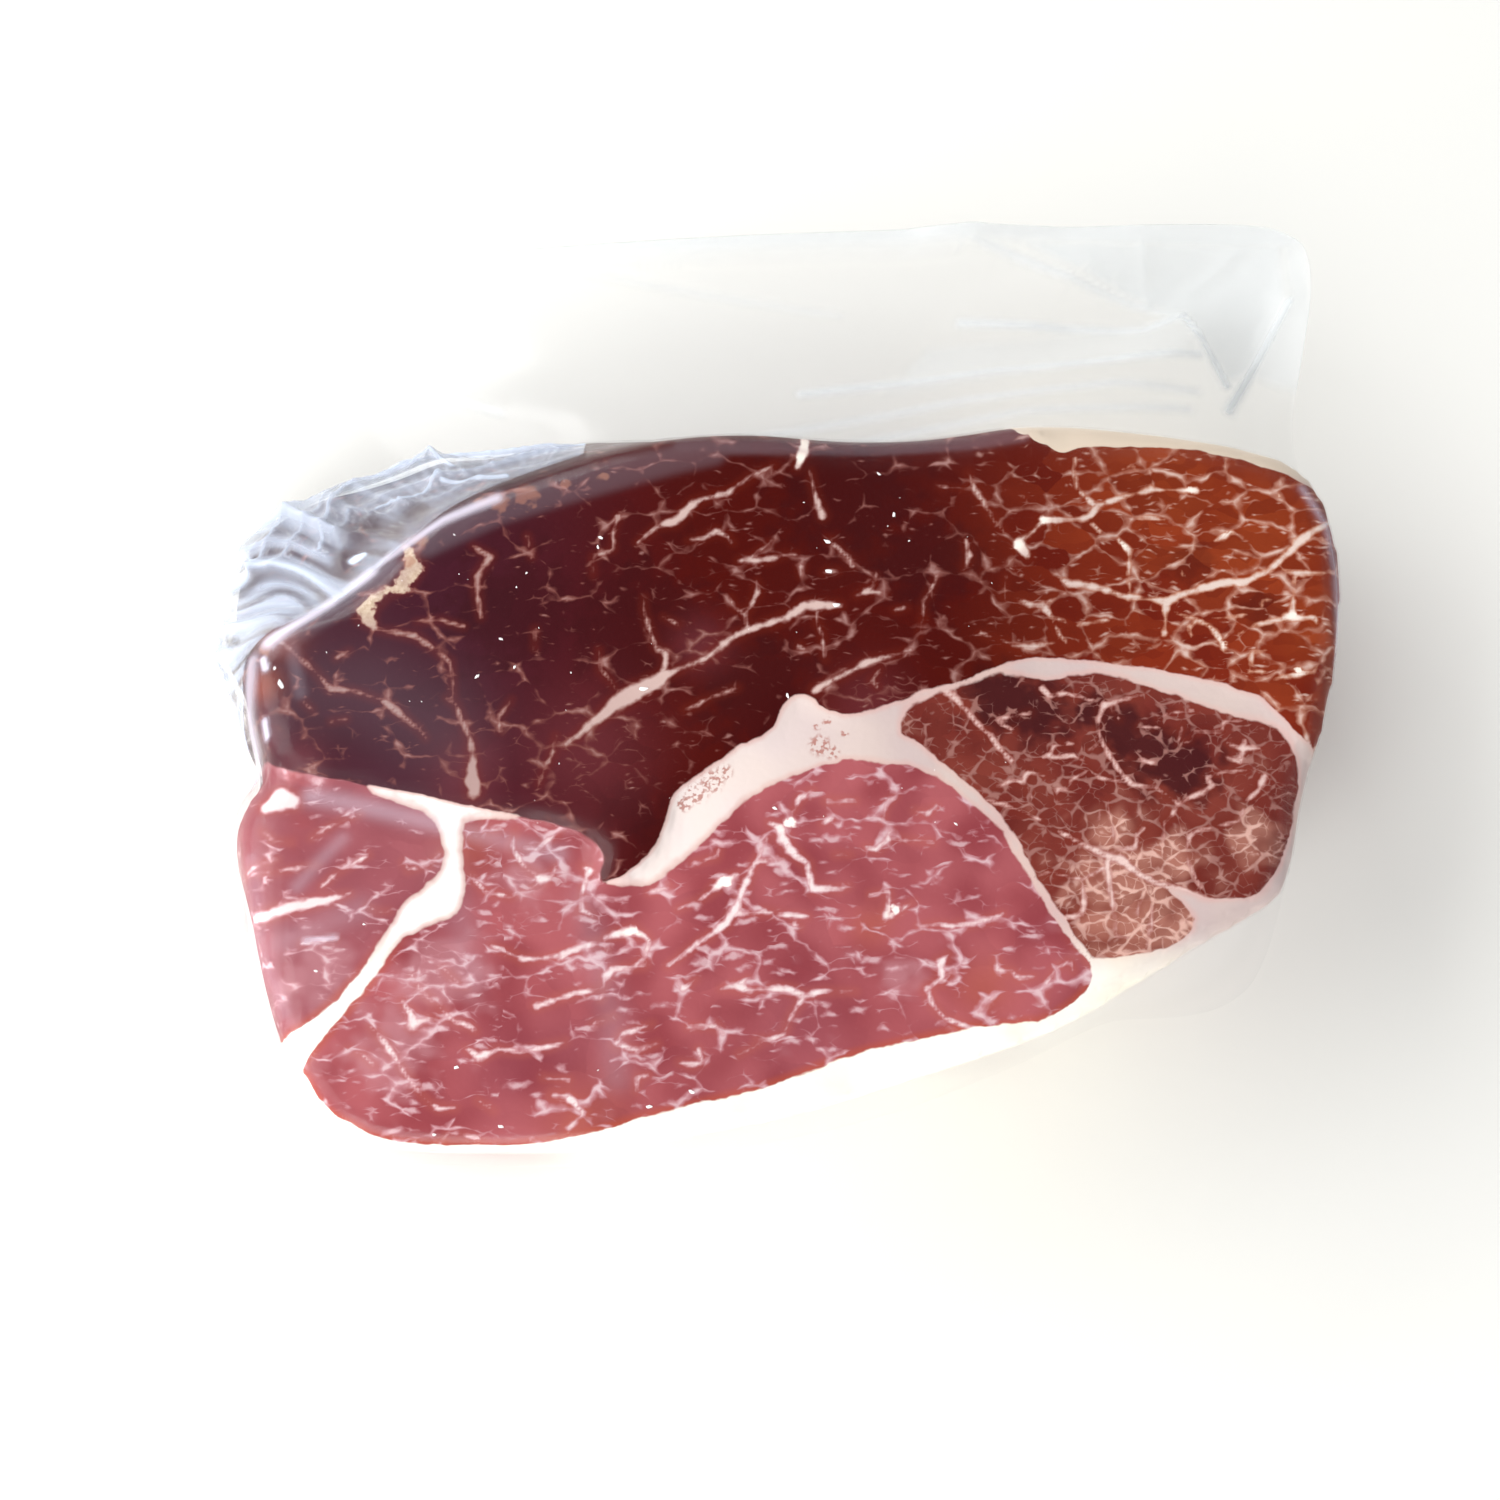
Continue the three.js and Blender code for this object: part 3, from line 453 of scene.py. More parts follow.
    [(28, -16.5, 0.8), (27.5, -18.5, 1.3), (25, -20.5, 1.2), (23, -20, 0.3)],
    [(28, -18, 0.5), (32.5, -18.5, 0.3), (36.5, -19, 0.7)],
    [(29, -9.5, 0.4), (27, -11.5, 0.6), (26.5, -14.5, 0.4)],
    [(33, -12.5, 0.7), (35.5, -13, 1.0), (37, -11.5, 0.4)],
    [(24, -29.5, 0.4), (27.5, -29, 0.7), (27.5, -32.5, 1.3), (27, -34, 1.5), (29.5, -33, 0.6),
     (32.5, -31, 0.3)],
    [(17, -21.5, 0.5), (20, -21.5, 0.5)],
    [(14.5, -15, 0.4), (16.5, -14, 0.7)],
    [(9, -35.5, 1.2), (10, -36, 0.8)],
    [(-11, -23, 0.3), (-6.5, -22, 0.5), (-6, -20.5, 0.3)],
    [(-19.5, -29, 1.0), (-16, -28, 1.0)],
    [(-5.5, -48.5, 0.5), (-2.5, -48, 1.7), (0, -49, 1.3), (3, -48.5, 0.7), (7.5, -48.5, 1.5),
     (9, -49, 1.7), (11, -50, 1.7), (14.5, -49, 0.7), (21, -49, 0.4)],
    [(11, -50, 1.3), (9.5, -52, 0.7), (8, -54.5, 0.8), (7, -57.5, 0.6), (4, -58.5, 0.5),
     (1.5, -58.5, 0.4)],
    [(-2.5, -48, 1.0), (-0.5, -46.5, 0.3)],
    [(39.5, -41.5, 0.8), (37.5, -43.5, 2.1), (38, -46.5, 1.0), (35, -48.5, 1.7), (36, -51.5, 1.1),
     (38, -54, 0.8), (41, -55.5, 1.1), (44.5, -56.5, 0.8)],
    [(33.5, -36, 0.7), (37, -35.5, 0.8), (40, -36, 1.2), (43.5, -35.5, 1.4), (47.5, -34.5, 1.2),
     (50, -33.5, 0.5)],
    [(-2, -61.5, 0.4), (2, -59.5, 0.3)],
    [(-13.5, -63, 0.4), (-11, -63.5, 1.3), (-9, -63, 0.4), (-10, -60.5, 0.4)],
    [(-25.5, -60, 0.5), (-21.5, -60.5, 0.5), (-18, -59.5, 0.3)],
    [(-12, -56, 0.4), (-9.5, -56, 0.4), (-6.5, -56, 1.0), (-5, -57.5, 0.3)],
    [(-14, -47, 1.0), (-13, -48.5, 1.0), (-10.5, -46.5, 0.4)],
    [(-50.5, -40, 0.6), (-48, -41, 0.7), (-44.5, -42.5, 1.3), (-41.5, -42.5, 0.6),
     (-38, -42, 0.6), (-34.5, -41, 0.8), (-31, -40, 0.6), (-28.5, -39, 0.5)],
    [(-29, -50.5, 0.9), (-28.5, -47, 0.5), (-26.5, -44.5, 0.6), (-20.5, -44, 0.6),
     (-20.5, -41, 0.5)],
    [(-60, -44.5, 0.8), (-57.5, -47, 0.8), (-55.5, -48, 0.6)],
    [(-66, -46, 0.3), (-64.5, -48.5, 0.5), (-61.5, -51.5, 0.4), (-57.5, -55, 0.6),
     (-54.5, -56, 0.7), (-53.5, -57, 0.4)],
    [(-68, -51, 0.6), (-66, -53.5, 1.4), (-65.5, -55.5, 2.6), (-62.5, -54.5, 1.2),
     (-59.5, -54.5, 0.7)],
    [(-55, -60.5, 0.6), (-52.5, -62, 1.5), (-49, -60.5, 1.0), (-44, -61, 0.8), (-39.5, -60, 1.1),
     (-36, -59, 0.8)],
    [(-74, -56, 0.3), (-71.5, -58.5, 1.2), (-70, -60.5, 1.5), (-68, -63.5, 0.6),
     (-65.5, -67, 0.6), (-62.5, -70.5, 0.5), (-60, -72, 0.6), (-57, -72, 0.3)],
    [(-78, -60.5, 0.4), (-75.5, -61.5, 0.5), (-73, -63.5, 0.8)],
    [(-41.5, -52, 1.3), (-37.5, -50.5, 1.0), (-34, -49.5, 1.3), (-29, -48.5, 0.6)],
    [(-30.5, -55.5, 0.6), (-26.5, -54, 0.4)],
    [(-19, -55.5, 0.4), (-25, -57.5, 0.6), (-26, -59.5, 1.3), (-21.5, -61, 0.9),
     (-18, -59.5, 0.4)],
    [(-38, -69.5, 1.3), (-35.5, -69.5, 1.0), (-33, -72, 1.5), (-32, -73, 0.9), (-35, -76, 1.3)],
    [(-52.5, -70.5, 0.6), (-49.5, -72.5, 0.3)],
    [(-40, -66, 0.3), (-35, -66.5, 0.5)],
    [(-60, -79.5, 0.9), (-58, -76.5, 0.4), (-52, -78, 0.5)],
    [(-82, -73, 0.6), (-78.5, -75, 0.5)],
    [(-22, -68.5, 0.5), (-21.5, -66, 0.8), (-19.5, -65.5, 0.3)],
    [(40, -45, 0.5), (38, -47.5, 1.0)],
    [(48.5, -42.5, 0.5), (48.5, -45, 0.6), (51.5, -45, 0.5), (53, -46.5, 0.7), (56, -46, 0.3)],
    [(57.5, -51.5, 0.7), (57.5, -49, 0.5), (58.5, -47, 0.5), (60, -44.5, 0.5), (63, -43, 0.7),
     (63.5, -45, 0.4)],
    [(48, -50, 0.8), (45, -53, 0.5)],
    [(-46.5, -16.5, 0.4), (-47, -19.5, 0.5), (-45.5, -22.5, 0.5), (-43, -25, 0.7),
     (-41, -26.5, 2.4), (-39, -26, 1.2), (-38, -23.5, 0.7)],
    [(-55, -26, 0.3), (-52, -29, 0.5), (-47, -30, 0.5), (-43.5, -28.5, 0.5), (-41.5, -27, 0.7)],
    [(-44.5, -20, 0.8), (-42, -20, 1.4), (-38, -17, 0.5)],
    [(-52, -16.5, 0.5), (-49.5, -16, 0.7)],
    # Pink muscles at the left end
    [(-99, -35, 2.9), (-93, -33, 2.8), (-87.5, -31.5, 2.4), (-82.5, -30.5, 2.1),
     (-79, -29.5, 1.0)],
    [(-75.5, -32, 0.4), (-73.5, -33, 0.6), (-71, -33, 0.4)],
    [(-84.5, -28, 0.4), (-82, -25.5, 0.5), (-78, -23, 0.5), (-75.5, -21.5, 0.2)],
    [(-87, -18, 0.3), (-83.5, -15.5, 0.5), (-77.5, -13, 0.3)],
    [(-68.5, -23, 0.5), (-67.5, -24.5, 0.8), (-63.5, -23.5, 0.6), (-61, -21, 0.4)],
    [(-96.5, -11.5, 2.9), (-93.5, -10, 5.8), (-91, -10.5, 3.9)],
    [(-97, -16.5, 0.5), (-94.5, -18.5, 0.6), (-91, -19, 0.4)],
    [(-100, -26, 1.0), (-98.5, -24, 0.5), (-93.5, -22.5, 0.4)],
    [(-98.5, -25.5, 0.7), (-94.5, -25, 0.5), (-88.5, -24, 0.4), (-85.5, -23.5, 0.2)],
    [(-88, -39.5, 0.7), (-81.5, -38.5, 0.7)],
]
VEIN_FADE = 0.03                    # width lost per millimetre below the cut face
VEIN_REACH = 6.0                    # a vein's surroundings are coloured as far as this
THIN_VEIN = 1.2                     # a vein thinner than this tapers off at its ends
END_TAPER = 0.5
LEAST_HALF_WIDTH = 0.16             # so that even a fine vein is drawn without breaks
HALF_WIDTH_GAIN = 0.42              # half width that each millimetre of a vein's width adds


def along_run(points, start, end):
    """For each point, how far along a straight run it lies, 0 to 1, and how far away from it."""
    run = end - start
    along = np.clip(((points - start) @ run) / (run @ run), 0, 1)
    return along, np.hypot(*(points - start - np.outer(along, run)).T)


def round_patch(points, x, y, radius, crispness=2):
    """Strength of a round patch at each point: 1 in its middle, fading towards its radius."""
    apart = np.hypot(points[:, 0] - x, points[:, 1] - y)
    return np.exp(-((apart / radius) ** crispness))


depth_below = (face_middle.z - places[:, 2]) / face_middle.z
face_places = (places[:, :2] - np.array(face_middle.xy)) / MM
face_places -= np.outer(depth_below, HAM_LEAN)
thinning = VEIN_FADE * np.maximum(0, depth_below) * face_middle.z / MM
vein_depth = np.full(len(places), -VEIN_REACH)
for vein in VEINS:
    line = np.array(vein, float)
    line[[0, -1], 2] *= np.where(line[[0, -1], 2] < THIN_VEIN, END_TAPER, 1)
    low = line[:, :2].min(0) - VEIN_REACH
    high = line[:, :2].max(0) + VEIN_REACH
    near = np.flatnonzero(((face_places > low) & (face_places < high)).all(1))
    for start, end in zip(line[:-1], line[1:]):
        along, apart = along_run(face_places[near], start[:2], end[:2])
        width = start[2] + along * (end[2] - start[2])
        half_width = LEAST_HALF_WIDTH + HALF_WIDTH_GAIN * width
        vein_depth[near] = np.maximum(vein_depth[near], half_width - thinning[near] - apart)
borders["vein_depth"] = vein_depth

for name, depth in borders.items():
    keep(ham, name, depth)

# Patches that differ from the rest of their muscle or fat, as (x, y, radius)
PATCHES = {
    "deep": [
        (51, 11, 9), (58, 8, 8), (80, 0, 9), (74, 5, 6), (87, -3, 8), (70, 8, 5),
        (-24, -12, 7), (-22, 26, 16), (2, 12, 14), (20, 55, 16), (36, 40, 12), (-48, 30, 14),
        (-36, -62, 9), (-46, -64, 9), (10, -57, 9), (-60, -34, 6), (90, 40, 5), (104, 30, 5),
    ],
    # warmer lean; the two at the back left corner, (-96, 24) and (-98, 14), are a painted orange red
    # glow
    "warm_and_glow": [
        (104, 46, 15), (114, 26, 10), (88, 58, 13), (-96, 24, 5), (-98, 14, 4),
        (-32, -73, 8), (46, -48, 6), (-56, -20, 6), (24, -36, 4),
    ],
    # paler lean; the one at (-99, 2) is painted light and sheen on the shaded left corner
    "pale_and_lit": [
        (76, -30, 14), (86, -38, 9), (72, -16, 6), (101, -18, 6), (84, -22, 7),
        (-84, -46, 10), (-60, -46, 10), (-70, -60, 10), (-45, -27, 6), (30, -46, 5),
        (-33, 0, 13), (-56, -4, 8), (24, 9, 8), (-10, 22, 6), (-99, 2, 6), (-90, -2, 5),
    ],
    "white": [
        (60, 49, 1.3), (54.5, 43.5, 1.5), (76, 43.5, 1.3), (98, 46.5, 1.6), (111, 16.5, 1.4),
        (110, 28.5, 1.4), (96, 22.5, 1.3), (90.5, 55.5, 1.3), (108.5, 54.5, 1), (8, -15, 1.9),
        (-5, -27, 1.7), (29, -32.5, 1.9), (-23, -37, 2), (11.6, 66, 2), (10.6, 62.8, 1.7),
    ],
    "tallow": [(-70, 41, 4), (-67, 36, 4), (-72, 33, 4), (-78, 31, 4.5), (-74, 37, 4)],
    "creamy": [(56, 69, 2.5), (60, 68.5, 3), (64, 67.5, 3)],
    "glowing": [(-91.5, -4.5, 2.6), (-89, -8.5, 2.8), (-88, -14, 2.6), (-89.5, -19, 2.2)],
    "crusty": [
        (-55, 53.5, 1.8), (-51, 53, 2.2), (-45.5, 54.5, 2.8), (-67.5, 45, 2), (-69.5, 40, 1.8),
        (-38, 57, 1.4), (-30, 58.5, 1.2), (-98, 22, 2),
    ],
    "vessel": [
        (-13, -11, 1.8), (-10.5, -9, 2.4), (-7.5, -6.5, 2.6), (-5, -4.5, 1.8), (14, 1, 2.4),
        (16.5, -0.5, 1.6), (13.5, 5, 0.9), (15.5, 6, 0.9), (19, 3.5, 0.9),
    ],
}
for name, spots in PATCHES.items():
    strength = np.zeros(len(places))
    for spot in spots:
        strength = np.maximum(strength, round_patch(face_places, *spot))
    keep(ham, name, strength)

# Cured ham: months of drying leave the lean dark, dense and a little translucent, marbled with
# soft fat. The knife has cut it smooth, and the film presses it flat, so it shines softly.
cured_ham, tree, surface = new_material("cured_ham_cut_smooth")
PER_METRE = 1 / MM
on_table = add(tree, "TexCoord").outputs["Object"]
spot = add(tree, "Mapping", {
    "Vector": on_table,
    "Location": -face_middle * PER_METRE,
    "Scale": (PER_METRE, PER_METRE, PER_METRE),
})
field = {
    name: add(tree, "Attribute", attribute_name=name).outputs["Fac"]
    for name in [*borders, *PATCHES]
}


def moved(value, by, amount, middle=0.5):
    """A border or a threshold moved to and fro by a noise."""
    centred = add(tree, "Math", {0: by, 1: middle}, operation="SUBTRACT")
    return add(tree, "Math", {0: centred, 1: amount, 2: value}, operation="MULTIPLY_ADD")


# Muscle bundles run down through the block, so their pattern is the cut's, carried down
LEAN_PER_MM = (HAM_LEAN[0] * MM / FACE_HEIGHT, HAM_LEAN[1] * MM / FACE_HEIGHT, 0)
below = add(tree, "SeparateXYZ", {"Vector": spot}).outputs["Z"]
leaned = add(tree, "VectorMath", {0: LEAN_PER_MM, "Scale": below}, operation="SCALE")
on_cut = add(tree, "VectorMath", {0: spot, 1: leaned}, operation="ADD")
WANDER = 4.5                        # how far the pattern wanders, in mm
wander = add(tree, "TexNoise", {"Vector": spot, "Scale": 1 / 7, "Detail": 2, "Roughness": 0.6})
wavy = add(tree, "VectorMath", {
    0: wander.outputs["Color"], 1: (WANDER, WANDER, 0), 2: on_cut,
}, operation="MULTIPLY_ADD")
across = add(tree, "SeparateXYZ", {"Vector": on_cut})
NOISES = {
    # name: size in mm and detail
    "patchy": (14, 1), "patchy_fine": (5, 1), "scallops": (4, 2), "ragged": (1.8, 2),
    "clots": (0.9, 1),
}
noise = {
    name: add(tree, "TexNoise", {"Vector": on_cut, "Scale": 1 / size, "Detail": detail})
    for name, (size, detail) in NOISES.items()
}

# Where each muscle and the fat lie, with their edges scalloped by the muscle bundles, and where
# the lean turns drier to the right and the left: name, what grows, where the change starts and ends
fat_edge = moved(field["fat_depth"], field["creamy"], 5, 0)
fat_edge = moved(moved(fat_edge, noise["scallops"], 1.6, 0.42), noise["ragged"], 0.4)
zone = {}
for name, grows, starts, ends in (
    ("fat", fat_edge, -0.2, 0.35),
    ("inner_fat", fat_edge, 0.1, 1.6),
    ("pink", moved(field["pink_depth"], noise["scallops"], 1.5), -0.4, 0.4),
    ("round", field["round_depth"], -0.4, 0.4),
    ("left_pink", field["left_depth"], -0.3, 0.3),
    ("near_vein", field["vein_depth"], -3.5, -0.3),
    ("vein_glow", field["vein_depth"], -1.8, 0.2),
    ("rim_glow_painted", field["fat_depth"], -2.0, -0.2),
    ("right", across.outputs["X"], 32, 95),
    ("left", across.outputs["X"], -5, -70),
    ("grey_seam", across.outputs["X"], -60, 40),
    ("front", across.outputs["Y"], -34, -50),
    ("back", across.outputs["Y"], 54, 61),
    ("spread", noise["patchy"], 0.3, 0.7),
    ("vessel", field["vessel"], 0.2, 0.7),
    ("clotted", noise["clots"], 0.45, 0.62),
    ("pale_drift", moved(field["pale_and_lit"], noise["patchy_fine"], 1.5), 0.2, 0.95),
    ("dark_drift", moved(field["deep"], noise["scallops"], 1.3), 0.2, 0.8),
    ("crust", moved(field["crusty"], noise["ragged"], 1.4), 0.35, 0.8),
):
    zone[name] = add(tree, "MapRange", {
        "Value": grows, "From Min": starts, "From Max": ends,
    }, interpolation_type="SMOOTHSTEP")
PINK_FOLD = -46                     # left of this the bundles of the pink lean turn, in mm
left_of_fold = add(tree, "Math", {
    0: add(tree, "SeparateXYZ", {"Vector": wavy}).outputs["X"], 1: PINK_FOLD,
}, operation="LESS_THAN")
for name, there in (("past_fold", left_of_fold), ("left_pink", zone["left_pink"])):
    zone[name] = add(tree, "Math", {0: there, 1: zone["pink"]}, operation="MULTIPLY")


def bundles(*lies):
    """Places on the cut counted in muscle bundles, from the direction in degrees and the length and
    width in mm of those in the dark lean, the pink, its left end and the round muscle."""
    counted = None
    for (degrees, length, width), muscle in zip(lies, (None, "pink", "past_fold", "round")):
        lie = add(tree, "Mapping", {
            "Vector": wavy, "Rotation": (0, 0, -math.radians(degrees)),
            "Scale": (1 / length, 1 / width, 1),
        })
        if muscle:
            lie = add(tree, "Mix", {"Factor": zone[muscle], "A": counted, "B": lie},
                      data_type="VECTOR")
        counted = lie
    return counted


def by_muscle(number, **others):
    """A number for the dark lean that gives way to others in other muscles."""
    for muscle, other in others.items():
        number = add(tree, "Mix", {"Factor": zone[muscle], "A": number, "B": other},
                     data_type="FLOAT")
    return number


def marbling(walls, centres, least, width):
    """Depth in the fat between bundles: widest where bundles meet, and gone where it's thin."""
    open_place = moved(centres, noise["patchy_fine"], 1.3)
    half = add(tree, "MapRange", {
        "Value": open_place, "From Min": least,
        "From Max": add(tree, "Math", {0: least, 1: 0.4}, operation="ADD"),
        "To Min": -0.1, "To Max": width,
    })
    depth = add(tree, "Math", {0: half, 1: walls}, operation="SUBTRACT")
    return moved(depth, noise["ragged"], 0.16)


# Fat between the muscle bundles, coarse and fine, thicker in pale patches and by a named vein
voronoi = {}
for name, places_in_bundles in (
    ("coarse", bundles((8, 9.5, 6), (24, 9, 5), (-36, 8, 4), (20, 4.6, 3.6))),
    ("fine", bundles((10, 4.6, 2.2), (26, 4.4, 1.9), (-30, 4, 1.6), (-25, 2.3, 1.8))),
):
    for feature in ("DISTANCE_TO_EDGE", "F1"):
        voronoi[name, feature] = add(tree, "TexVoronoi", {
            "Vector": places_in_bundles, "Scale": 1,
        }, voronoi_dimensions="2D", feature=feature)
fatter = add(tree, "Math", {0: field["pale_and_lit"], 1: field["deep"]}, operation="SUBTRACT")
coarse_least = moved(moved(
    by_muscle(0.34, right=0.1, left=0.46, pink=0.48, left_pink=0.62, round=0.32),
    fatter, -0.2, 0), zone["near_vein"], -0.18, 0)
fine_least = moved(
    by_muscle(0.54, right=0.52, left=0.66, pink=0.62, left_pink=0.72, round=0.36),
    fatter, -0.2, 0)
coarse = marbling(voronoi["coarse", "DISTANCE_TO_EDGE"], voronoi["coarse", "F1"], coarse_least,
                  by_muscle(0.06, right=0.06, left=0.06, pink=0.11, round=0.07))
coarse = moved(coarse, voronoi["fine", "F1"], 0.2, 0.45)
fine = marbling(voronoi["fine", "DISTANCE_TO_EDGE"], voronoi["fine", "F1"], fine_least,
                by_muscle(0.09, right=0.09, left=0.08, pink=0.12, round=0.08))

# Flecks are short spindles of fat along the bundles, each of its own size, and lie in drifts
flecks = add(tree, "TexVoronoi", {
    "Vector": bundles((12, 4, 1.3), (26, 6.4, 2.1), (-38, 6, 2), (-10, 3.6, 2.4)),
    "Scale": 1, "Exponent": 1.25,
}, voronoi_dimensions="2D", distance="MINKOWSKI")
own_size = add(tree, "SeparateColor", {"Color": flecks.outputs["Color"]}).outputs["Green"]
fleck_least = moved(
    by_muscle(0.52, right=0.42, left=0.7, pink=0.44, left_pink=0.62, round=0.6), fatter, -0.15, 0)
fleck_size = add(tree, "MapRange", {
    "Value": moved(own_size, noise["patchy_fine"], 1.3), "From Min": fleck_least,
    "From Max": add(tree, "Math", {0: fleck_least, 1: 0.6}, operation="ADD"),
    "To Min": -0.1, "To Max": by_muscle(0.28, right=0.3, pink=0.42, round=0.34),
})
fleck = add(tree, "Math", {0: fleck_size, 1: flecks}, operation="SUBTRACT")
fleck = moved(fleck, noise["ragged"], 0.7)

# Veins that can be told apart, ragged and torn where the fat is tallowy, and knots of white fat
vein_depth = moved(moved(field["vein_depth"], noise["scallops"], 1.5), noise["ragged"], 0.9)
torn = add(tree, "Math", {0: field["tallow"], 1: 4}, operation="MULTIPLY")
vein_depth = moved(moved(vein_depth, noise["ragged"], torn, 0.58), voronoi["fine", "F1"], 0.35, 0.4)
knot = add(tree, "Math", {0: field["white"], 1: 2.2, 2: -1.5}, operation="MULTIPLY_ADD")
knot = moved(moved(knot, noise["ragged"], 3.4), noise["scallops"], 2.5)
vein_depth = add(tree, "Math", {0: vein_depth, 1: knot}, operation="MAXIMUM")

# How far each kind of fat covers the lean, and how far it shows its whitest core: name, depth in
# it, where its blurred edge starts and ends, where its core starts and ends, and how much at most
covers = {"small": 0, "core": 0}
for depth, edge, core, most in (
    (coarse, (-0.08, 0.08), (0.02, 0.16), 0.85),
    (fine, (-0.06, 0.12), (0.05, 0.2), 0.58),
    (fleck, (-0.14, 0.2), (0.05, 0.32), 0.68),
):
    for name, (starts, ends) in (("small", edge), ("core", core)):
        cover = add(tree, "MapRange", {
            "Value": depth, "From Min": starts, "From Max": ends, "To Max": most,
        }, interpolation_type="SMOOTHSTEP")
        covers[name] = add(tree, "Math", {0: covers[name], 1: cover}, operation="MAXIMUM")
for name, starts, ends in (("vein", -0.22, 0.35), ("vein_core", 0.05, 0.8)):
    covers[name] = add(tree, "MapRange", {
        "Value": vein_depth, "From Min": starts, "From Max": ends,
    }, interpolation_type="SMOOTHSTEP")


def coated(ground, *coats):
    """A colour with coats of others over it, each a colour and the shares that thin it out."""
    ground = linear(ground) if isinstance(ground, str) else ground
    for colour, share, *others in coats:
        for other in others:
            share = add(tree, "Math", {0: share, 1: other}, operation="MULTIPLY")
        ground = add(tree, "Mix", {
            "Factor": share, "A": ground,
            "B": linear(colour) if isinstance(colour, str) else colour,
        }, data_type="RGBA")
    return ground


# Colours of the lean: nearly black red where it is driest, orange brown at the right end, pink
# where it was thickest and has cured least. Every muscle bundle has dried to a shade of its own,
# and round a thick vein the lean lets light through and looks warmer.
# The pale and warm patches over the dark lean also carry painted light and a painted glow at its left
# corner.
dark = coated(
    "#4a0802", ("#3e1220", zone["left"]), ("#76200e", zone["right"]), ("#94401c", 0.6, field["warm_and_glow"]),
    ("#32060a", 0.5, zone["dark_drift"]), ("#74343a", 0.45, field["pale_and_lit"]),
)
pink = coated(
    "#8c3d42", ("#a8585c", zone["spread"]), ("#94545c", 0.6, zone["left_pink"]),
    ("#c08a90", 0.5, zone["pale_drift"]), ("#a85440", 0.5, field["warm_and_glow"]),
    ("#783440", 0.5, field["deep"]), ("#b4361c", 0.8, field["glowing"], zone["spread"]),
)
marbled = coated(
    "#6a2620", ("#7c362c", zone["spread"]), ("#b67c6c", 0.7, zone["pale_drift"]),
    ("#3c1216", 0.85, zone["dark_drift"]),
)
shade = add(tree, "SeparateColor", {"Color": voronoi["coarse", "F1"].outputs["Color"]})
fine_shade = add(tree, "SeparateColor", {"Color": voronoi["fine", "F1"].outputs["Color"]})
lean = coated(
    dark, ("#ac4c26", 0.4, shade.outputs["Green"], zone["right"]),
    ("#5a0e08", 0.36, fine_shade.outputs["Red"], zone["right"]),
    (pink, zone["pink"]), (marbled, zone["round"]),
    (coated("#240608", ("#70303a", zone["pink"])), 0.18, shade.outputs["Red"]),
    (coated("#742410", ("#b4604c", zone["pink"])), 0.2, zone["vein_glow"]),
    # painted glow: an orange band of light on the pink lean along its border with the front fat cap
    ("#b4502e", 0.42, zone["rim_glow_painted"], zone["front"], zone["pink"]),
)

# Colours of the fat: pinkish white in the seams, cream in the caps, brown where a vessel is cut
# through, and orange brown where the dried rim shows
soft_fat = coated(
    "#cba8a2", (coated("#f6ebe6", ("#c4b0ac", zone["grey_seam"])), zone["inner_fat"]),
    ("#e8d6c2", 0.2, zone["spread"]),
    (coated("#f6f0e6", ("#f2e4c4", 0.5, zone["spread"], zone["grey_seam"])), zone["front"]),
    ("#dccbb4", 0.85, zone["back"]), ("#9c4a38", 0.7, zone["vessel"], zone["clotted"]),
)
vein_light = coated(
    "#ccb0a8", ("#a88a84", zone["left"]), ("#e0ccc0", zone["right"]), ("#ead8d6", zone["pink"]),
    ("#e2c4bc", zone["round"]),
    (coated("#a88c70", ("#e6d4bc", noise["clots"])), field["tallow"]),
)
vein_fat = coated(
    "#84504a", ("#b87a60", zone["right"]), ("#c08a8e", zone["pink"]), ("#b07a72", zone["round"]),
    (vein_light, covers["vein_core"]), ("#fdf1e4", 1.1, field["white"], covers["vein_core"]),
)
small_fat = coated(
    "#7a4640", ("#b47c68", zone["right"]), ("#bc868c", zone["pink"]),
    (coated("#a8807a", ("#e0c6ba", zone["right"]), ("#dabfc2", zone["pink"])), covers["core"]),
    (coated("#9a6a62", ("#dcb0a2", zone["pale_drift"])), zone["round"]),
)
colour = coated(
    lean, (small_fat, covers["small"]), (vein_fat, 0.92, covers["vein"]),
    (coated("#8c4c38", ("#a87458", zone["spread"])), 0.6, zone["crust"]),
    (soft_fat, zone["fat"]),
)

grain = add(tree, "TexNoise", {"Vector": on_table, "Scale": 1 / (1.1 * MM), "Detail": 0})
relief = add(tree, "Bump", {"Height": grain, "Strength": 0.3, "Distance": 0.12 * MM})
flesh = add(tree, "BsdfPrincipled", {
    "Base Color": colour,
    "Roughness": 0.47,
    "IOR": 1.4,
    "Specular IOR Level": 0.08,
    "Normal": relief,
})
tree.links.new(flesh.outputs[0], surface)
ham.data.materials.append(cured_ham)
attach(ham, "root")
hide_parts(*LEAN_NODES.values(), *FAT_NODES)

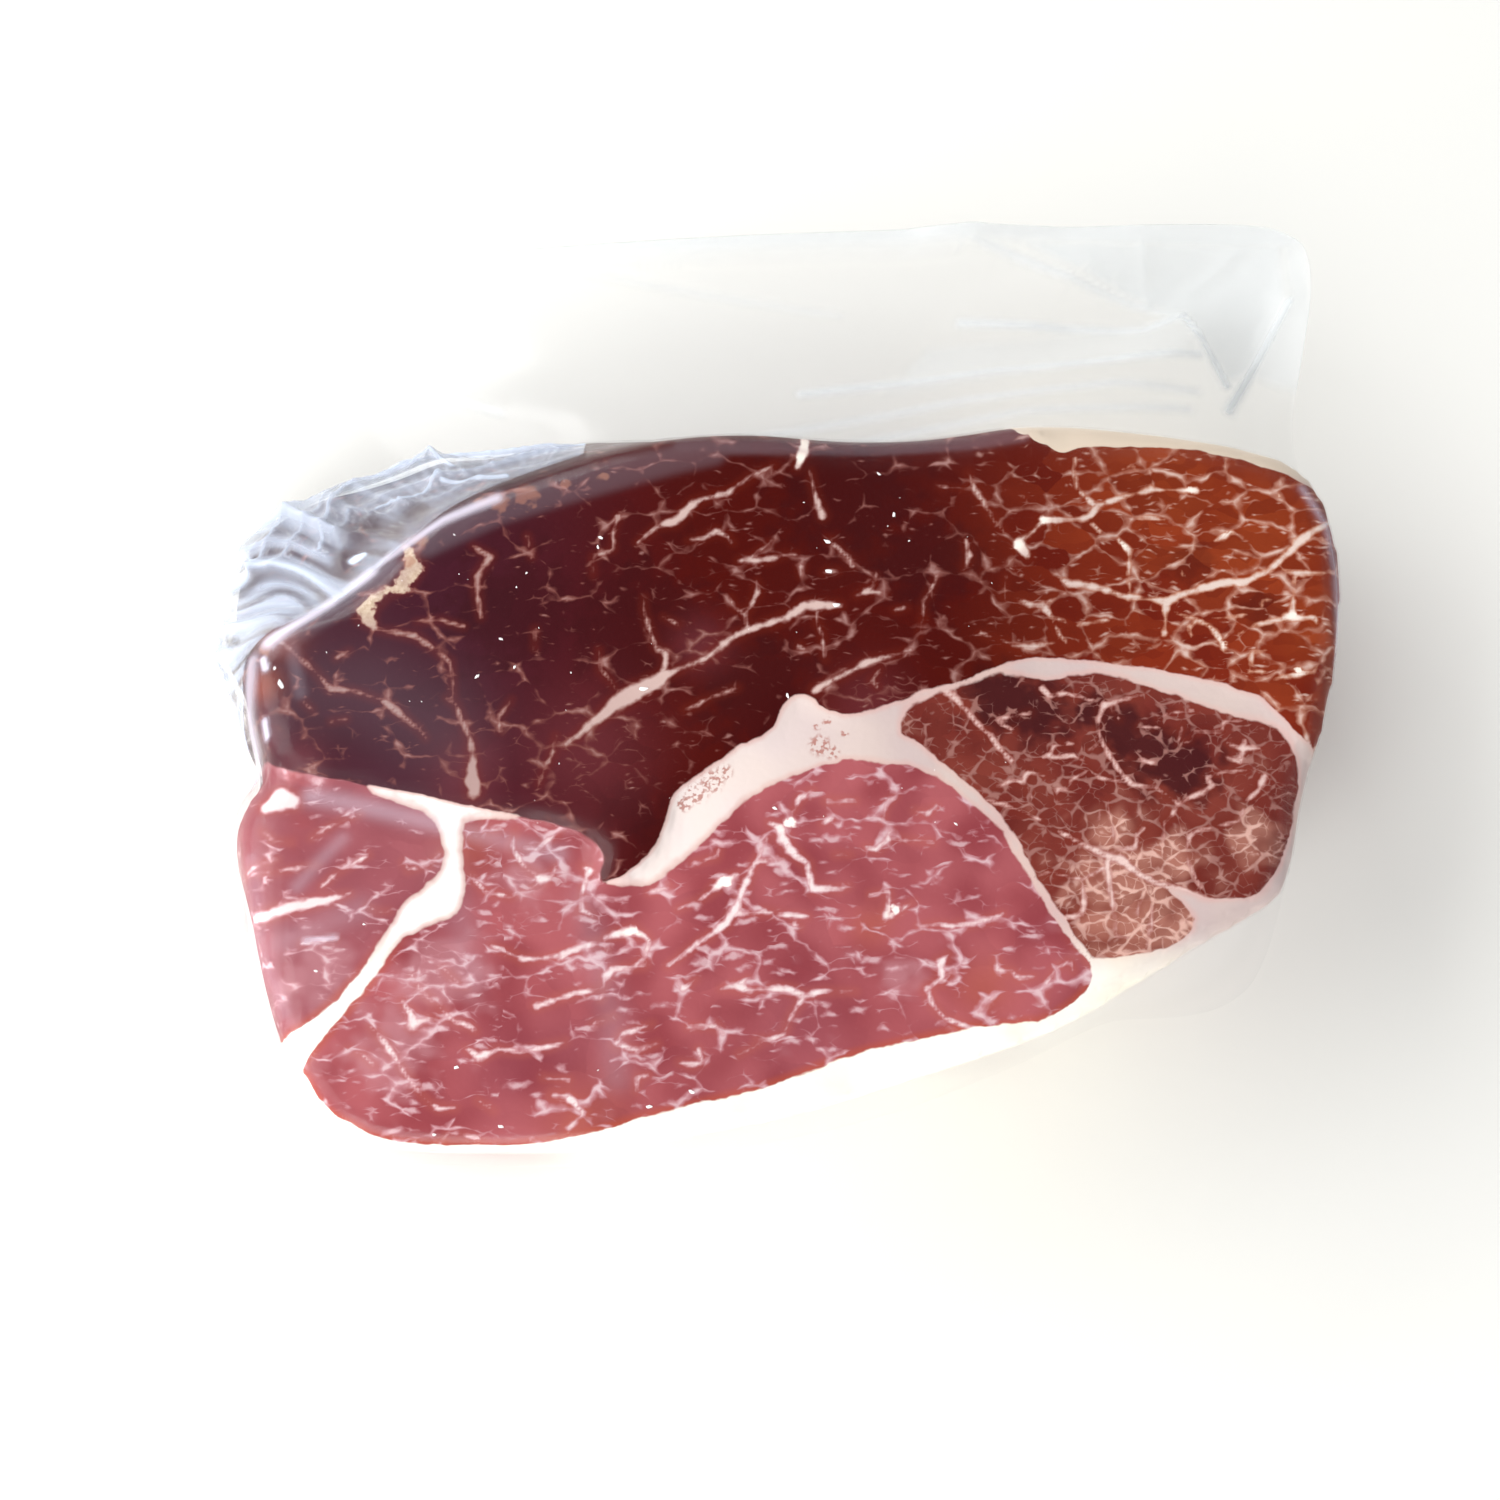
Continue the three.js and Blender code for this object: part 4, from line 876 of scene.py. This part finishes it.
# White crystals on the cut. Tyrosine, an amino acid, comes out of the lean in long curing and
# dries to small hard white flakes, pressed flat under the film. Some of the flakes are painted
# highlights: white flakes put where the film shows small glints.
CRYSTALS_AND_GLINTS = [
    # place on the cut and size, in mm: those that can be told apart
    (-45.5, 37.5, 0.8), (-50.5, 23.5, 1.1), (-55, 15.5, 1.1), (-47.5, 17.5, 1.0),
    (-47.5, 34.5, 0.6), (-60.5, 46, 0.6), (-30.5, 45, 1.0), (-31, 43, 1.0), (26.5, 59.5, 1.0),
    (29.5, 50.5, 1.2), (16, 44.5, 1.6), (16, 38, 1.6), (17.5, 30.5, 1.7), (7.5, 11.5, 1.3),
    (-21.5, 13, 1.8), (-57, -64, 1.2), (-48, -75.5, 1.3), (-61, -77, 0.9), (-19.5, -71.5, 1.3),
    (-11.5, -68.5, 1.5), (-29.5, -64.5, 0.6), (-85, -45, 0.9), (-76, -35.5, 0.7),
    (-94.5, 14, 2.0), (-96, 17.5, 1.0), (5, -12, 1.0), (41, -15, 0.9),
]
CRYSTALS_STREWN = 34                # smaller ones
STREWN_SIZES = (0.25, 0.5)          # mm
STREWN_ALONG = (-90, 60)            # from end to end, in mm
STREWN_MIDDLE = 28                  # how far back they are thickest, in mm
STREWN_SPREAD = 24
STREWN_FURTHEST_BACK = 62
FLAKE_FORM = (1.25, 0.75, 0.35)     # length, width and thickness of a flake to its size
FLAKE_LOWEST = 57.5 * MM
DROP_HEIGHT = 1.2 * FACE_HEIGHT     # a flake is laid down on the cut from here
strewn = np.random.default_rng(11)
flake_places = list(CRYSTALS_AND_GLINTS)
while len(flake_places) < len(CRYSTALS_AND_GLINTS) + CRYSTALS_STREWN:
    strewn_at = (strewn.uniform(*STREWN_ALONG), strewn.normal(STREWN_MIDDLE, STREWN_SPREAD))
    strewn_size = strewn.uniform(*STREWN_SIZES)
    if strewn_at[1] <= STREWN_FURTHEST_BACK:
        flake_places.append((*strewn_at, strewn_size))
bpy.context.view_layer.update()
bpy.ops.object.select_all(action="DESELECT")
flakes = []
for x, y, size in flake_places:
    above = Vector((face_middle.x + x * MM, face_middle.y + y * MM, DROP_HEIGHT))
    struck, place, normal, _ = ham.ray_cast(above, Vector((0, 0, -1)))
    if not struck or place.z < FLAKE_LOWEST:
        continue
    bpy.ops.mesh.primitive_ico_sphere_add(subdivisions=1, radius=size * MM / 2)
    flake = bpy.context.object
    shape = corners(flake)
    shape *= strewn.uniform(0.4, 1.2, (len(shape), 1)) * FLAKE_FORM
    turn = strewn.uniform(0, math.pi)
    shape[:, :2] = shape[:, :2] @ np.array([[math.cos(turn), math.sin(turn)],
                                            [-math.sin(turn), math.cos(turn)]])
    shape += np.array(place)
    move_corners(flake, shape)
    flakes.append(flake)
pick(*flakes)
bpy.ops.object.join()
crystals_and_glints = bpy.context.object
crystals_and_glints.name = "tyrosine_flakes_and_glints"

# Dry tyrosine is chalk white; a slight sugary sparkle is painted in as whiter facets in its colour
chalky, tree, surface = new_material("dry_white_tyrosine_and_glints")
facets = add(tree, "TexNoise", {
    "Vector": add(tree, "TexCoord").outputs["Object"], "Scale": 1 / (0.3 * MM), "Detail": 2,
})
powder = add(tree, "BsdfPrincipled", {
    "Base Color": coated("#e6d8d4", ("#ffffff", facets)),
    "Roughness": 0.4,
    "IOR": 1.5,
    "Normal": add(tree, "Bump", {"Height": facets, "Strength": 0.6, "Distance": 0.1 * MM}),
})
tree.links.new(powder.outputs[0], surface)
crystals_and_glints.data.materials.append(chalky)
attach(crystals_and_glints, "root")

# Film that clings to the ham. The bag is clear coextruded plastic, about 0.1 mm thick, which the
# vacuum pulls tight over the meat and across its hollows. It gives the whole block its wet gloss.
# Where it isn't quite down on the meat it looks milky. Its sheens, glints and bands of reflected
# daylight are painted into it as that milky colour, along the lines given below.
FILM_BRIDGE = 3 * MM                # it bridges hollows up to twice as wide
FILM_STANDS_OFF = 0.55 * MM
FILM_VOXEL = 2.4 * MM
FILM_LEAST_OFF = 0.35 * MM          # nowhere does the meat come through it
FILM_SUNK_MOST = 4 * MM             # how far in the meat a corner of the film may have sunk
FILM_MIRRORED_MOST = 0.45           # share of the light mirrored where it is seen edge on
FILM_SHEENS = [
    # painted sheens and glints: places on the cut, half width in mm, share of the light painted in
    ([(-97.5, 23.5), (-87, 32.5), (-78, 39.5)], 1.9, 0.85),
    ([(-94, 14), (-78, 13), (-64, 5)], 12, 0.03),
    ([(-80, 38), (-75, 42), (-63, 49.5), (-52, 54)], 1.3, 0.65),
    ([(-96, 22.5), (-86, 31), (-74, 40)], 3.0, 0.12),
    ([(-101, 20), (-102, 9), (-101, -3)], 1.8, 0.4),
    ([(-98.4, 19.5), (-97.8, 17.5)], 0.7, 0.9),
    ([(-97.6, 6.5), (-97, 3.5)], 0.8, 0.7),
    ([(-93, 23), (-90.5, 12)], 1.8, 0.1),
    ([(-88, -9), (-80, -10.5), (-70, -13), (-60, -15.5)], 2.0, 0.2),
    ([(-56, -16.5), (-48, -18.5), (-38, -21)], 2.0, 0.14),
    ([(-89.5, -28), (-85.5, -23), (-81, -18)], 1.5, 0.12),
    ([(-94, -40), (-86.5, -37), (-77, -32.5)], 3.0, 0.08),
    ([(-87.5, -39), (-81.5, -38.3)], 0.6, 0.5),
    ([(-99, -22), (-96, -40), (-91, -53)], 1.6, 0.1),
    ([(-33, -30), (-30, -42), (-27, -54), (-26, -66)], 3.2, 0.07),
    ([(-60, -22), (-57, -34), (-54, -46)], 3.4, 0.06),
    ([(113.5, 56), (118, 48), (119.5, 38), (119.5, 20), (118.5, 5)], 0.9, 0.3),
]
FILM_SHEEN_FACETS = [
    # the same for painted sheen bands on flat places between two creases, with crisp edges
    ([(-66, 44.5), (-52, 51), (-38, 55.5), (-16, 62), (-8, 64)], 3.4, 0.055),
    ([(-14, 65), (10, 65.5), (27, 65.5), (46, 66.5), (56, 68)], 2.0, 0.065),
]
SHEEN_NEAR = 3                       # the film is divided finer this far from a painted sheen, in half widths
SHEEN_NEAR_MOST = 6                  # and no further than this, in mm
SHEEN_LOWEST = 25 * MM                # only the upper part of the sides gets the painted sheen
FILM_LOOSE = [
    # place on the cut, radius and height in mm, where the film stands off the block's side
    (-101, -10, 7, 1.4), (-102, 12, 8, 0.4), (-97, -38, 9, 2.0), (-88, -60, 8, 1.4),
]


def apart_from(points, line):
    """Distance of points seen from above to the nearest place on a line."""
    nearest = np.full(len(points), np.inf)
    for start, end in zip(np.array(line[:-1], float), np.array(line[1:], float)):
        nearest = np.minimum(nearest, along_run(points, start, end)[1])
    return nearest


def band(points, line, half, crispness=2):
    """Strength of a band along a line at each point: 1 on the line, fading to either side."""
    return np.exp(-((apart_from(points, line) / half) ** crispness))


def clear_film(name, milk, milky_share, mirrored_least, roughness, ripples=None):
    """Clear glossy film: see-through, mirror-like at a slant, and milky where it is slack and where
    sheens, glints and lines are painted in. It may have ripples of some size and height in mm."""
    film, tree, surface = new_material(name)
    see_through = add(tree, "BsdfTransparent", {"Color": linear("#ffffff")})
    gloss = add(tree, "BsdfAnisotropic", {"Color": linear("#ffffff"), "Roughness": roughness})
    if ripples:
        size, height = ripples
        on_table = add(tree, "TexCoord").outputs["Object"]
        uneven = add(tree, "TexNoise", {
            "Vector": on_table, "Scale": 1 / (size * MM), "Detail": 0,
        })
        relief = add(tree, "Bump", {"Height": uneven, "Strength": 1, "Distance": height * MM})
        tree.links.new(relief.outputs[0], gloss.inputs["Normal"])
    # Schlick's rule for plastic, but never a whole mirror, because the film is nowhere quite flat
    slant = add(tree, "LayerWeight", {"Blend": 0.5}).outputs["Facing"]
    slanting = add(tree, "Math", {0: slant, 1: 5}, operation="POWER")
    mirrored = add(tree, "Math", {
        0: slanting, 1: FILM_MIRRORED_MOST - mirrored_least, 2: mirrored_least,
    }, operation="MULTIPLY_ADD")
    glossy_film = add(tree, "MixShader", {0: mirrored, 1: see_through, 2: gloss})
    # painted light: the attribute read here adds milky colour where sheens, glints and crease lines
    # are painted, and where the film is slack
    milk_and_sheen = add(tree, "Attribute", attribute_name="milk_and_sheen").outputs["Fac"]
    share = add(tree, "Math", {0: milk_and_sheen, 1: milky_share}, operation="ADD")
    milk_and_painted_sheen = add(tree, "BsdfDiffuse", {"Color": linear(milk)})
    whole = add(tree, "MixShader", {0: share, 1: glossy_film, 2: milk_and_painted_sheen})
    tree.links.new(whole.outputs[0], surface)
    return film


film_skin = bpy.data.objects.new("film_skin", block_form)
bpy.context.collection.objects.link(film_skin)
modify(film_skin, "DISPLACE", strength=FILM_BRIDGE, mid_level=0)
modify(film_skin, "REMESH", mode="VOXEL", voxel_size=FILM_VOXEL)
modify(film_skin, "SMOOTH", factor=0.5, iterations=4)
modify(film_skin, "DISPLACE", strength=FILM_STANDS_OFF - FILM_BRIDGE, mid_level=0)
modify(film_skin, "SMOOTH", factor=0.5, iterations=3)
middle = np.array(face_middle) - np.array((0, 0, FACE_HEIGHT))
normals, centres = faces(film_skin)
seen_from_above = (centres[:, :2] - middle[:2]) / MM
near_sheen = np.zeros(len(seen_from_above), bool)
for line, half, _ in FILM_SHEENS + FILM_SHEEN_FACETS:
    near_sheen |= apart_from(seen_from_above, line) < min(SHEEN_NEAR * half, SHEEN_NEAR_MOST)
near_sheen &= (normals[:, 2] > 0) & (centres[:, 2] > FACE_LOWEST)
divide(film_skin, near_sheen, cuts=2)
modify(film_skin, "SMOOTH", factor=0.5, iterations=2)
places = corners(film_skin)
seen_from_above = (places[:, :2] - middle[:2]) / MM
normals = np.empty(places.size)
film_skin.data.vertices.foreach_get("normal", normals)
normals = normals.reshape(-1, 3)
on_side = np.clip((0.8 - normals[:, 2]) / 0.5, 0, 1)
for x, y, radius, height in FILM_LOOSE:
    lift = height * MM * on_side * round_patch(seen_from_above, x, y, radius)
    places += normals * lift[:, None]
ham_shape = search_shape(ham.data)
for i, place in enumerate(places):
    near, outward, _, apart = ham_shape.find_nearest(Vector(place), FILM_SUNK_MOST)
    if near is None:
        continue
    if apart < FILM_LEAST_OFF or (Vector(place) - near).dot(outward) < 0:
        places[i] = near + outward * FILM_LEAST_OFF
places[:, 2] = np.clip(places[:, 2], 0, None)
move_corners(film_skin, places)
milk_and_sheen = np.zeros(len(places))
for sheens, crispness in ((FILM_SHEENS, 2), (FILM_SHEEN_FACETS, 5)):
    for line, half, share in sheens:
        milk_and_sheen = np.maximum(milk_and_sheen, share * band(seen_from_above, line, half, crispness))
keep(film_skin, "milk_and_sheen", np.where(places[:, 2] > SHEEN_LOWEST, milk_and_sheen, 0))
bpy.ops.object.shade_smooth()
film_skin.data.materials.clear()
# The lilac milk colour is the painted tint of the reflected daylight.
film_skin.data.materials.append(clear_film(
    "vacuum_film_tight", "#eae2f2", milky_share=0.001, mirrored_least=0.02, roughness=0.2,
    ripples=(16, 0.25)))
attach(film_skin, "root")

# Pleats at the back left. The bag is wider than the ham, so at this corner several plies of the
# same film lie crumpled together over the sloping side. Their folds fan out from the cut's edge,
# and they look milky blue white because every ply and crease throws back some light. That light
# is painted into them as a milky share, lighter on the fold tops and creases.
PLEAT_TOP = [(-104, 12, 52), (-102.5, 20, 55), (-98.7, 25.8, 57), (-91.7, 30, 58),
             (-83.7, 34.8, 58), (-75.8, 41, 58), (-67.8, 47.3, 58), (-61.7, 52.5, 58),
             (-54, 56.5, 57.5), (-45, 60, 57), (-34, 63.6, 56)]
PLEAT_FOOT = [(-112, 4, 12), (-116, 22, 10), (-121, 40, 6), (-120, 55, 5), (-111, 65, 6),
              (-101, 70.5, 8), (-90, 76.5, 12), (-78.5, 80, 18), (-66, 80, 25), (-52, 79.5, 32),
              (-36, 78.5, 40)]
PLEAT_OFF = 0.8                     # the plies stand off the clinging film by this, in mm
PLEAT_COLUMNS = 270
PLEAT_ROWS = 100
PLEAT_THICKNESS = 0.15 * MM
PLEATS_FANNED = 15                  # folds that fan out from the left corner of the cut
PLEATS_LAID = 4.5                   # folds that lie along the back edge
PLEAT_HEIGHT = 2.4                  # mm
PLEAT_END_COLUMNS = 18              # the folds lie down over this many columns at either end
PLEAT_FOOT_FADE = 0.06              # share of the way down over which the milk and painted sheen thin at the foot
PLEAT_LOWEST = 0.3 * MM
# Creases that can be told apart: places seen from above, height and half width in mm, and share
# of the light painted on as a highlight line along each
PLEAT_CREASES = [
    ([(-102.9, 47.5), (-106.8, 55.9), (-112, 62)], 2.0, 2.0, 0.4),
    ([(-102.9, 47.5), (-100.6, 55), (-97.5, 64)], 2.0, 1.8, 0.35),
    ([(-89, 48), (-87.8, 56.9), (-86.1, 64.4), (-81.4, 67.7), (-67.9, 72.4)], 2.6, 2.4, 0.4),
    ([(-78, 77), (-70, 74.5), (-62.5, 66.5)], 2.4, 2.6, 0.45),
    ([(-64.6, 63.5), (-67.5, 59.8), (-72.6, 56.6)], 1.8, 1.4, 0.4),
    ([(-63.9, 61.2), (-58.3, 59.8), (-50, 59.2)], 1.6, 1.4, 0.45),
    ([(-80.5, 53.2), (-78.1, 57.4), (-75.1, 58.7), (-72.4, 56.9)], 1.2, 1.2, 0.35),
    ([(-99.3, 46.5), (-96, 51.1), (-90.1, 59), (-88, 72)], 1.8, 2.0, 0.3),
    ([(-116, 44), (-112.6, 38.4), (-108.7, 29.7), (-105.7, 20)], 1.8, 2.0, 0.3),
    ([(-84.5, 42.8), (-85.2, 50), (-83.5, 56.5)], 1.4, 1.0, 0.35),
]
PLEAT_CREASE_SHEEN_HALF_WIDTH = 0.6       # of the painted highlight line on a crease, in mm
PLEAT_CLEAR = [(-80, 51, 5.2), (-69, 53, 3.6), (-84, 44, 3.6), (-74, 49, 3.4)]
PLEAT_CLEARED = 0.95                # share of the milk and sheen that is gone there, where the meat shows
# a painted glint, a small white highlight on the film: places seen from above, half width in mm,
# share
PLEAT_GLINT = ([(-82.3, 43.8), (-80.6, 44.8)], 1.0, 0.9)


def spaced_line(points, count):
    """Points spread evenly along a line, smoothed at its corners."""
    line = np.array(points, float)
    steps = np.hypot(*np.diff(line[:, :2], axis=0).T)
    along = np.concatenate([[0], np.cumsum(steps)])
    even = np.linspace(0, along[-1], count)
    spaced = np.stack([np.interp(even, along, column) for column in line.T], axis=1)
    for _ in range(count // 14):
        spaced[1:-1] = (spaced[:-2] + 2 * spaced[1:-1] + spaced[2:]) / 4
    return spaced


def folded(phase):
    """Height of a row of folds, 0 to 1, with a crease on each and its own height for each."""
    own_height = 0.65 + 0.35 * np.sin(2.7 * np.floor(phase) + 1)
    return own_height * (1 - np.abs(2 * (phase % 1) - 1)) ** 1.4


bpy.ops.object.select_all(action="DESELECT")
bpy.ops.mesh.primitive_grid_add(
    x_subdivisions=PLEAT_COLUMNS - 1, y_subdivisions=PLEAT_ROWS - 1, size=2)
film_pleats = bpy.context.object
film_pleats.name = "film_pleats"
grid = corners(film_pleats)
column = np.rint((grid[:, 0] + 1) / 2 * (PLEAT_COLUMNS - 1)).astype(int)
down = (1 - grid[:, 1]) / 2
round_edge = column / (PLEAT_COLUMNS - 1)
top = spaced_line(PLEAT_TOP, PLEAT_COLUMNS)[column]
foot = spaced_line(PLEAT_FOOT, PLEAT_COLUMNS)[column]
straight = top + (foot - top) * down[:, None]
seen_from_above = straight[:, :2]
wobble = 0.3 * np.sin(9 * round_edge + 4.3 * down) + 0.18 * np.sin(23 * round_edge - 9 * down)
fanned = folded(PLEATS_FANNED * round_edge + wobble)
laid = folded(PLEATS_LAID * down + 2.2 * round_edge + wobble)
laid_share = np.clip((round_edge - 0.5) / 0.2, 0, 1)
folds = fanned + laid_share * (laid - fanned)
swell = np.sin(math.pi * np.clip(down, 0, 1)) ** 0.7
stand_off = PLEAT_HEIGHT * folds * swell
creased = folded(43 * round_edge + 2 * wobble)
stand_off += 0.5 * creased * swell
many_plies = np.clip((0.6 - round_edge) / 0.25, 0, 1)
# painted light: the fold tops and creases are milkier as painted highlights, and the milk thins along
# streaks between the folds as painted shade
milk_and_sheen = 0.1 + 0.2 * folds ** 1.5 + 0.1 * creased
painted_fold_shade = np.exp(-((folded(19 * round_edge + 1.7 * wobble + 0.4) / 0.16) ** 2))
milk_and_sheen += many_plies * (0.14 + 0.24 * folds - 0.28 * painted_fold_shade)
milk_and_sheen *= 0.5 + 0.5 * np.clip(down / 0.3, 0, 1)
milk_and_sheen += 0.35 * np.clip((down - 0.7) / 0.2, 0, 1) * (1 - many_plies)
for line, height, half, share in PLEAT_CREASES:
    stand_off += height * band(seen_from_above, line, half, 1) * swell
    milk_and_sheen = np.maximum(milk_and_sheen, share * band(seen_from_above, line, PLEAT_CREASE_SHEEN_HALF_WIDTH))
for spot in PLEAT_CLEAR:
    milk_and_sheen *= 1 - PLEAT_CLEARED * round_patch(seen_from_above, *spot, 4)
line, half, share = PLEAT_GLINT
milk_and_sheen = np.maximum(milk_and_sheen, share * band(seen_from_above, line, half, 4))
ends = np.clip(np.minimum(column, PLEAT_COLUMNS - 1 - column) / PLEAT_END_COLUMNS, 0, 1)
stand_off = PLEAT_OFF + stand_off * ends
skin_shape = search_shape(film_skin.data)
places = np.empty((len(straight), 3))
for i, place in enumerate(straight * MM + middle):
    near, normal, _, _ = skin_shape.find_nearest(Vector(place))
    outward = Vector((normal.x, normal.y, max(normal.z, 0.25))).normalized()
    places[i] = near + outward * stand_off[i] * MM
places[:, 2] = np.maximum(places[:, 2], PLEAT_LOWEST)
move_corners(film_pleats, places)
at_foot = np.clip((1 - down) / PLEAT_FOOT_FADE, 0, 1)
keep(film_pleats, "milk_and_sheen", np.clip(milk_and_sheen * (0.4 + 0.6 * at_foot), 0, 1))
modify(film_pleats, "SMOOTH", factor=0.5, iterations=1)
modify(film_pleats, "SOLIDIFY", thickness=PLEAT_THICKNESS, offset=0)
bpy.ops.object.shade_smooth()
# The blue white milk colour is the painted tint of the reflected daylight.
film_pleats.data.materials.append(clear_film(
    "vacuum_film_crumpled", "#dbe6f9", milky_share=0.01, mirrored_least=0.015, roughness=0.16,
    ripples=(5, 0.15)))
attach(film_pleats, "root")

# Free film behind and round the ham: two plies of the same film sealed together, lying loose on
# the table with a few soft creases, and pressed milky by the heat seal along its far end.
FREE_CREASES = [
    # places seen from above, height and half width in mm, and share of the light painted on as a line
    ([(51.5, 136), (96.5, 114.5)], 0.7, 4, 0.25),
    ([(97.5, 114.5), (105.6, 95)], 0.7, 4, 0.4),
    ([(100.3, 123), (112.3, 134)], 0.5, 3.0, 0.2),
    ([(122.2, 119.3), (111.9, 99.7), (105.5, 88)], 0.7, 4, 0.4),
    ([(-5, 77), (20, 83), (47, 89), (80, 93), (98, 92)], 0, 2.0, 0.2),
    ([(20, 76.5), (60, 85), (96, 87)], 0, 2.0, 0.2),
    ([(126.9, 113), (122.8, 94)], 0.3, 3, 0.2),
    ([(47.7, 113.6), (88, 110), (97.5, 114.5)], 0.5, 4, 0.3),
    ([(90.2, 136.4), (90.7, 118.8)], 0.5, 3, 0.25),
    ([(11.3, 91.5), (54.2, 98.5), (99.6, 102)], 0.7, 4, 0.3),
    ([(-40, 128), (20, 116)], 0.5, 4.0, 0.08),
    ([(-166, 107), (-152, 86), (-136, 76)], 1.6, 2.0, 0.55),
    ([(-165, 108), (-150, 116), (-128, 112)], 1.2, 2.0, 0.4),
    ([(-110, 118), (-70, 96), (-55, 88)], 0.5, 4, 0.15),
]
FREE_SHEEN_FACETS = [
    # flat places between the creases, and share of the light painted in as a sheen over each
    ([(97.5, 114.5), (105.6, 95), (112, 100), (122, 119), (122, 136), (62, 136)], 0.22),
    ([(122, 136), (122, 119), (112, 99.5), (122.8, 94), (127, 113), (128, 136)], 0.16),
    ([(-166, 107), (-152, 86), (-136, 76), (-118, 100), (-128, 112), (-150, 116)], 0.12),
    ([(30, 92), (54, 96), (100, 102), (97.5, 114.5), (63, 108.4), (40, 106)], 0.1),
]
CREASE_SHEEN_HALF_WIDTH = 1.2             # of the painted line on a crease, in mm
CREASE_NEAR = 4                     # the film is divided finer this far from a crease, in mm
FACET_EDGE = 3                      # a facet's painted sheen sets in over this, in mm
SEAL_LINE = [(-150, 121), (-120, 127), (-60, 134), (0, 138), (60, 140), (125, 138)]
SEAL_HALF_WIDTH = 4.5               # mm
SEAL_SHARE = 0.22
FREE_LOWEST = 0.1 * MM
film_free = merged_copies(["bag_film"], "film_free")
divide(film_free, np.ones(len(film_free.data.polygons), bool), cuts=3)
modify(film_free, "SMOOTH", factor=0.5, iterations=6)
_, centres = faces(film_free)
seen_from_above = (centres[:, :2] - middle[:2]) / MM
near_line = np.zeros(len(centres), bool)
for line in [crease[0] for crease in FREE_CREASES] + [facet[0] for facet in FREE_SHEEN_FACETS]:
    near_line |= apart_from(seen_from_above, line) < CREASE_NEAR
divide(film_free, near_line, cuts=3)
modify(film_free, "SMOOTH", factor=0.5, iterations=4)
places = corners(film_free)
seen_from_above = (places[:, :2] - middle[:2]) / MM
milk_and_sheen = np.zeros(len(places))
for outline, share in FREE_SHEEN_FACETS:
    inside = np.zeros(len(places), bool)
    to_edge = apart_from(seen_from_above, outline + outline[:1])
    for (ax, ay), (bx, by) in zip(outline, outline[1:] + outline[:1]):
        crosses = (ay > seen_from_above[:, 1]) != (by > seen_from_above[:, 1])
        meets = ax + (seen_from_above[:, 1] - ay) / ((by - ay) or 1e-9) * (bx - ax)
        inside ^= crosses & (seen_from_above[:, 0] < meets)
    inward = np.where(inside, to_edge, -to_edge) / FACET_EDGE
    milk_and_sheen = np.maximum(milk_and_sheen, share * np.clip(0.5 + inward, 0, 1))
for line, height, half, share in FREE_CREASES:
    places[:, 2] += height * MM * band(seen_from_above, line, half, 1)
    milk_and_sheen = np.maximum(milk_and_sheen, share * band(seen_from_above, line, CREASE_SHEEN_HALF_WIDTH))
seal = band(seen_from_above, SEAL_LINE, SEAL_HALF_WIDTH, 4)
keep(film_free, "milk_and_sheen", np.maximum(milk_and_sheen, SEAL_SHARE * seal))
places[:, 2] = np.maximum(places[:, 2], FREE_LOWEST)
move_corners(film_free, places)
bpy.ops.object.shade_smooth()
film_free.visible_shadow = False    # a clear film casts no shadow that can be seen
# The grey milk colour paints the crease lines and facets as grey reflections over the white table.
film_free.data.materials.append(clear_film(
    "vacuum_film_slack", "#dde3e6", milky_share=0.01, mirrored_least=0.015, roughness=0.22))
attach(film_free, "root")
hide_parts("bag_film")

# Daylight that the matt table and the ham throw at each other goes through the film unchanged
for film in (film_skin, film_pleats, film_free):
    film.visible_diffuse = False
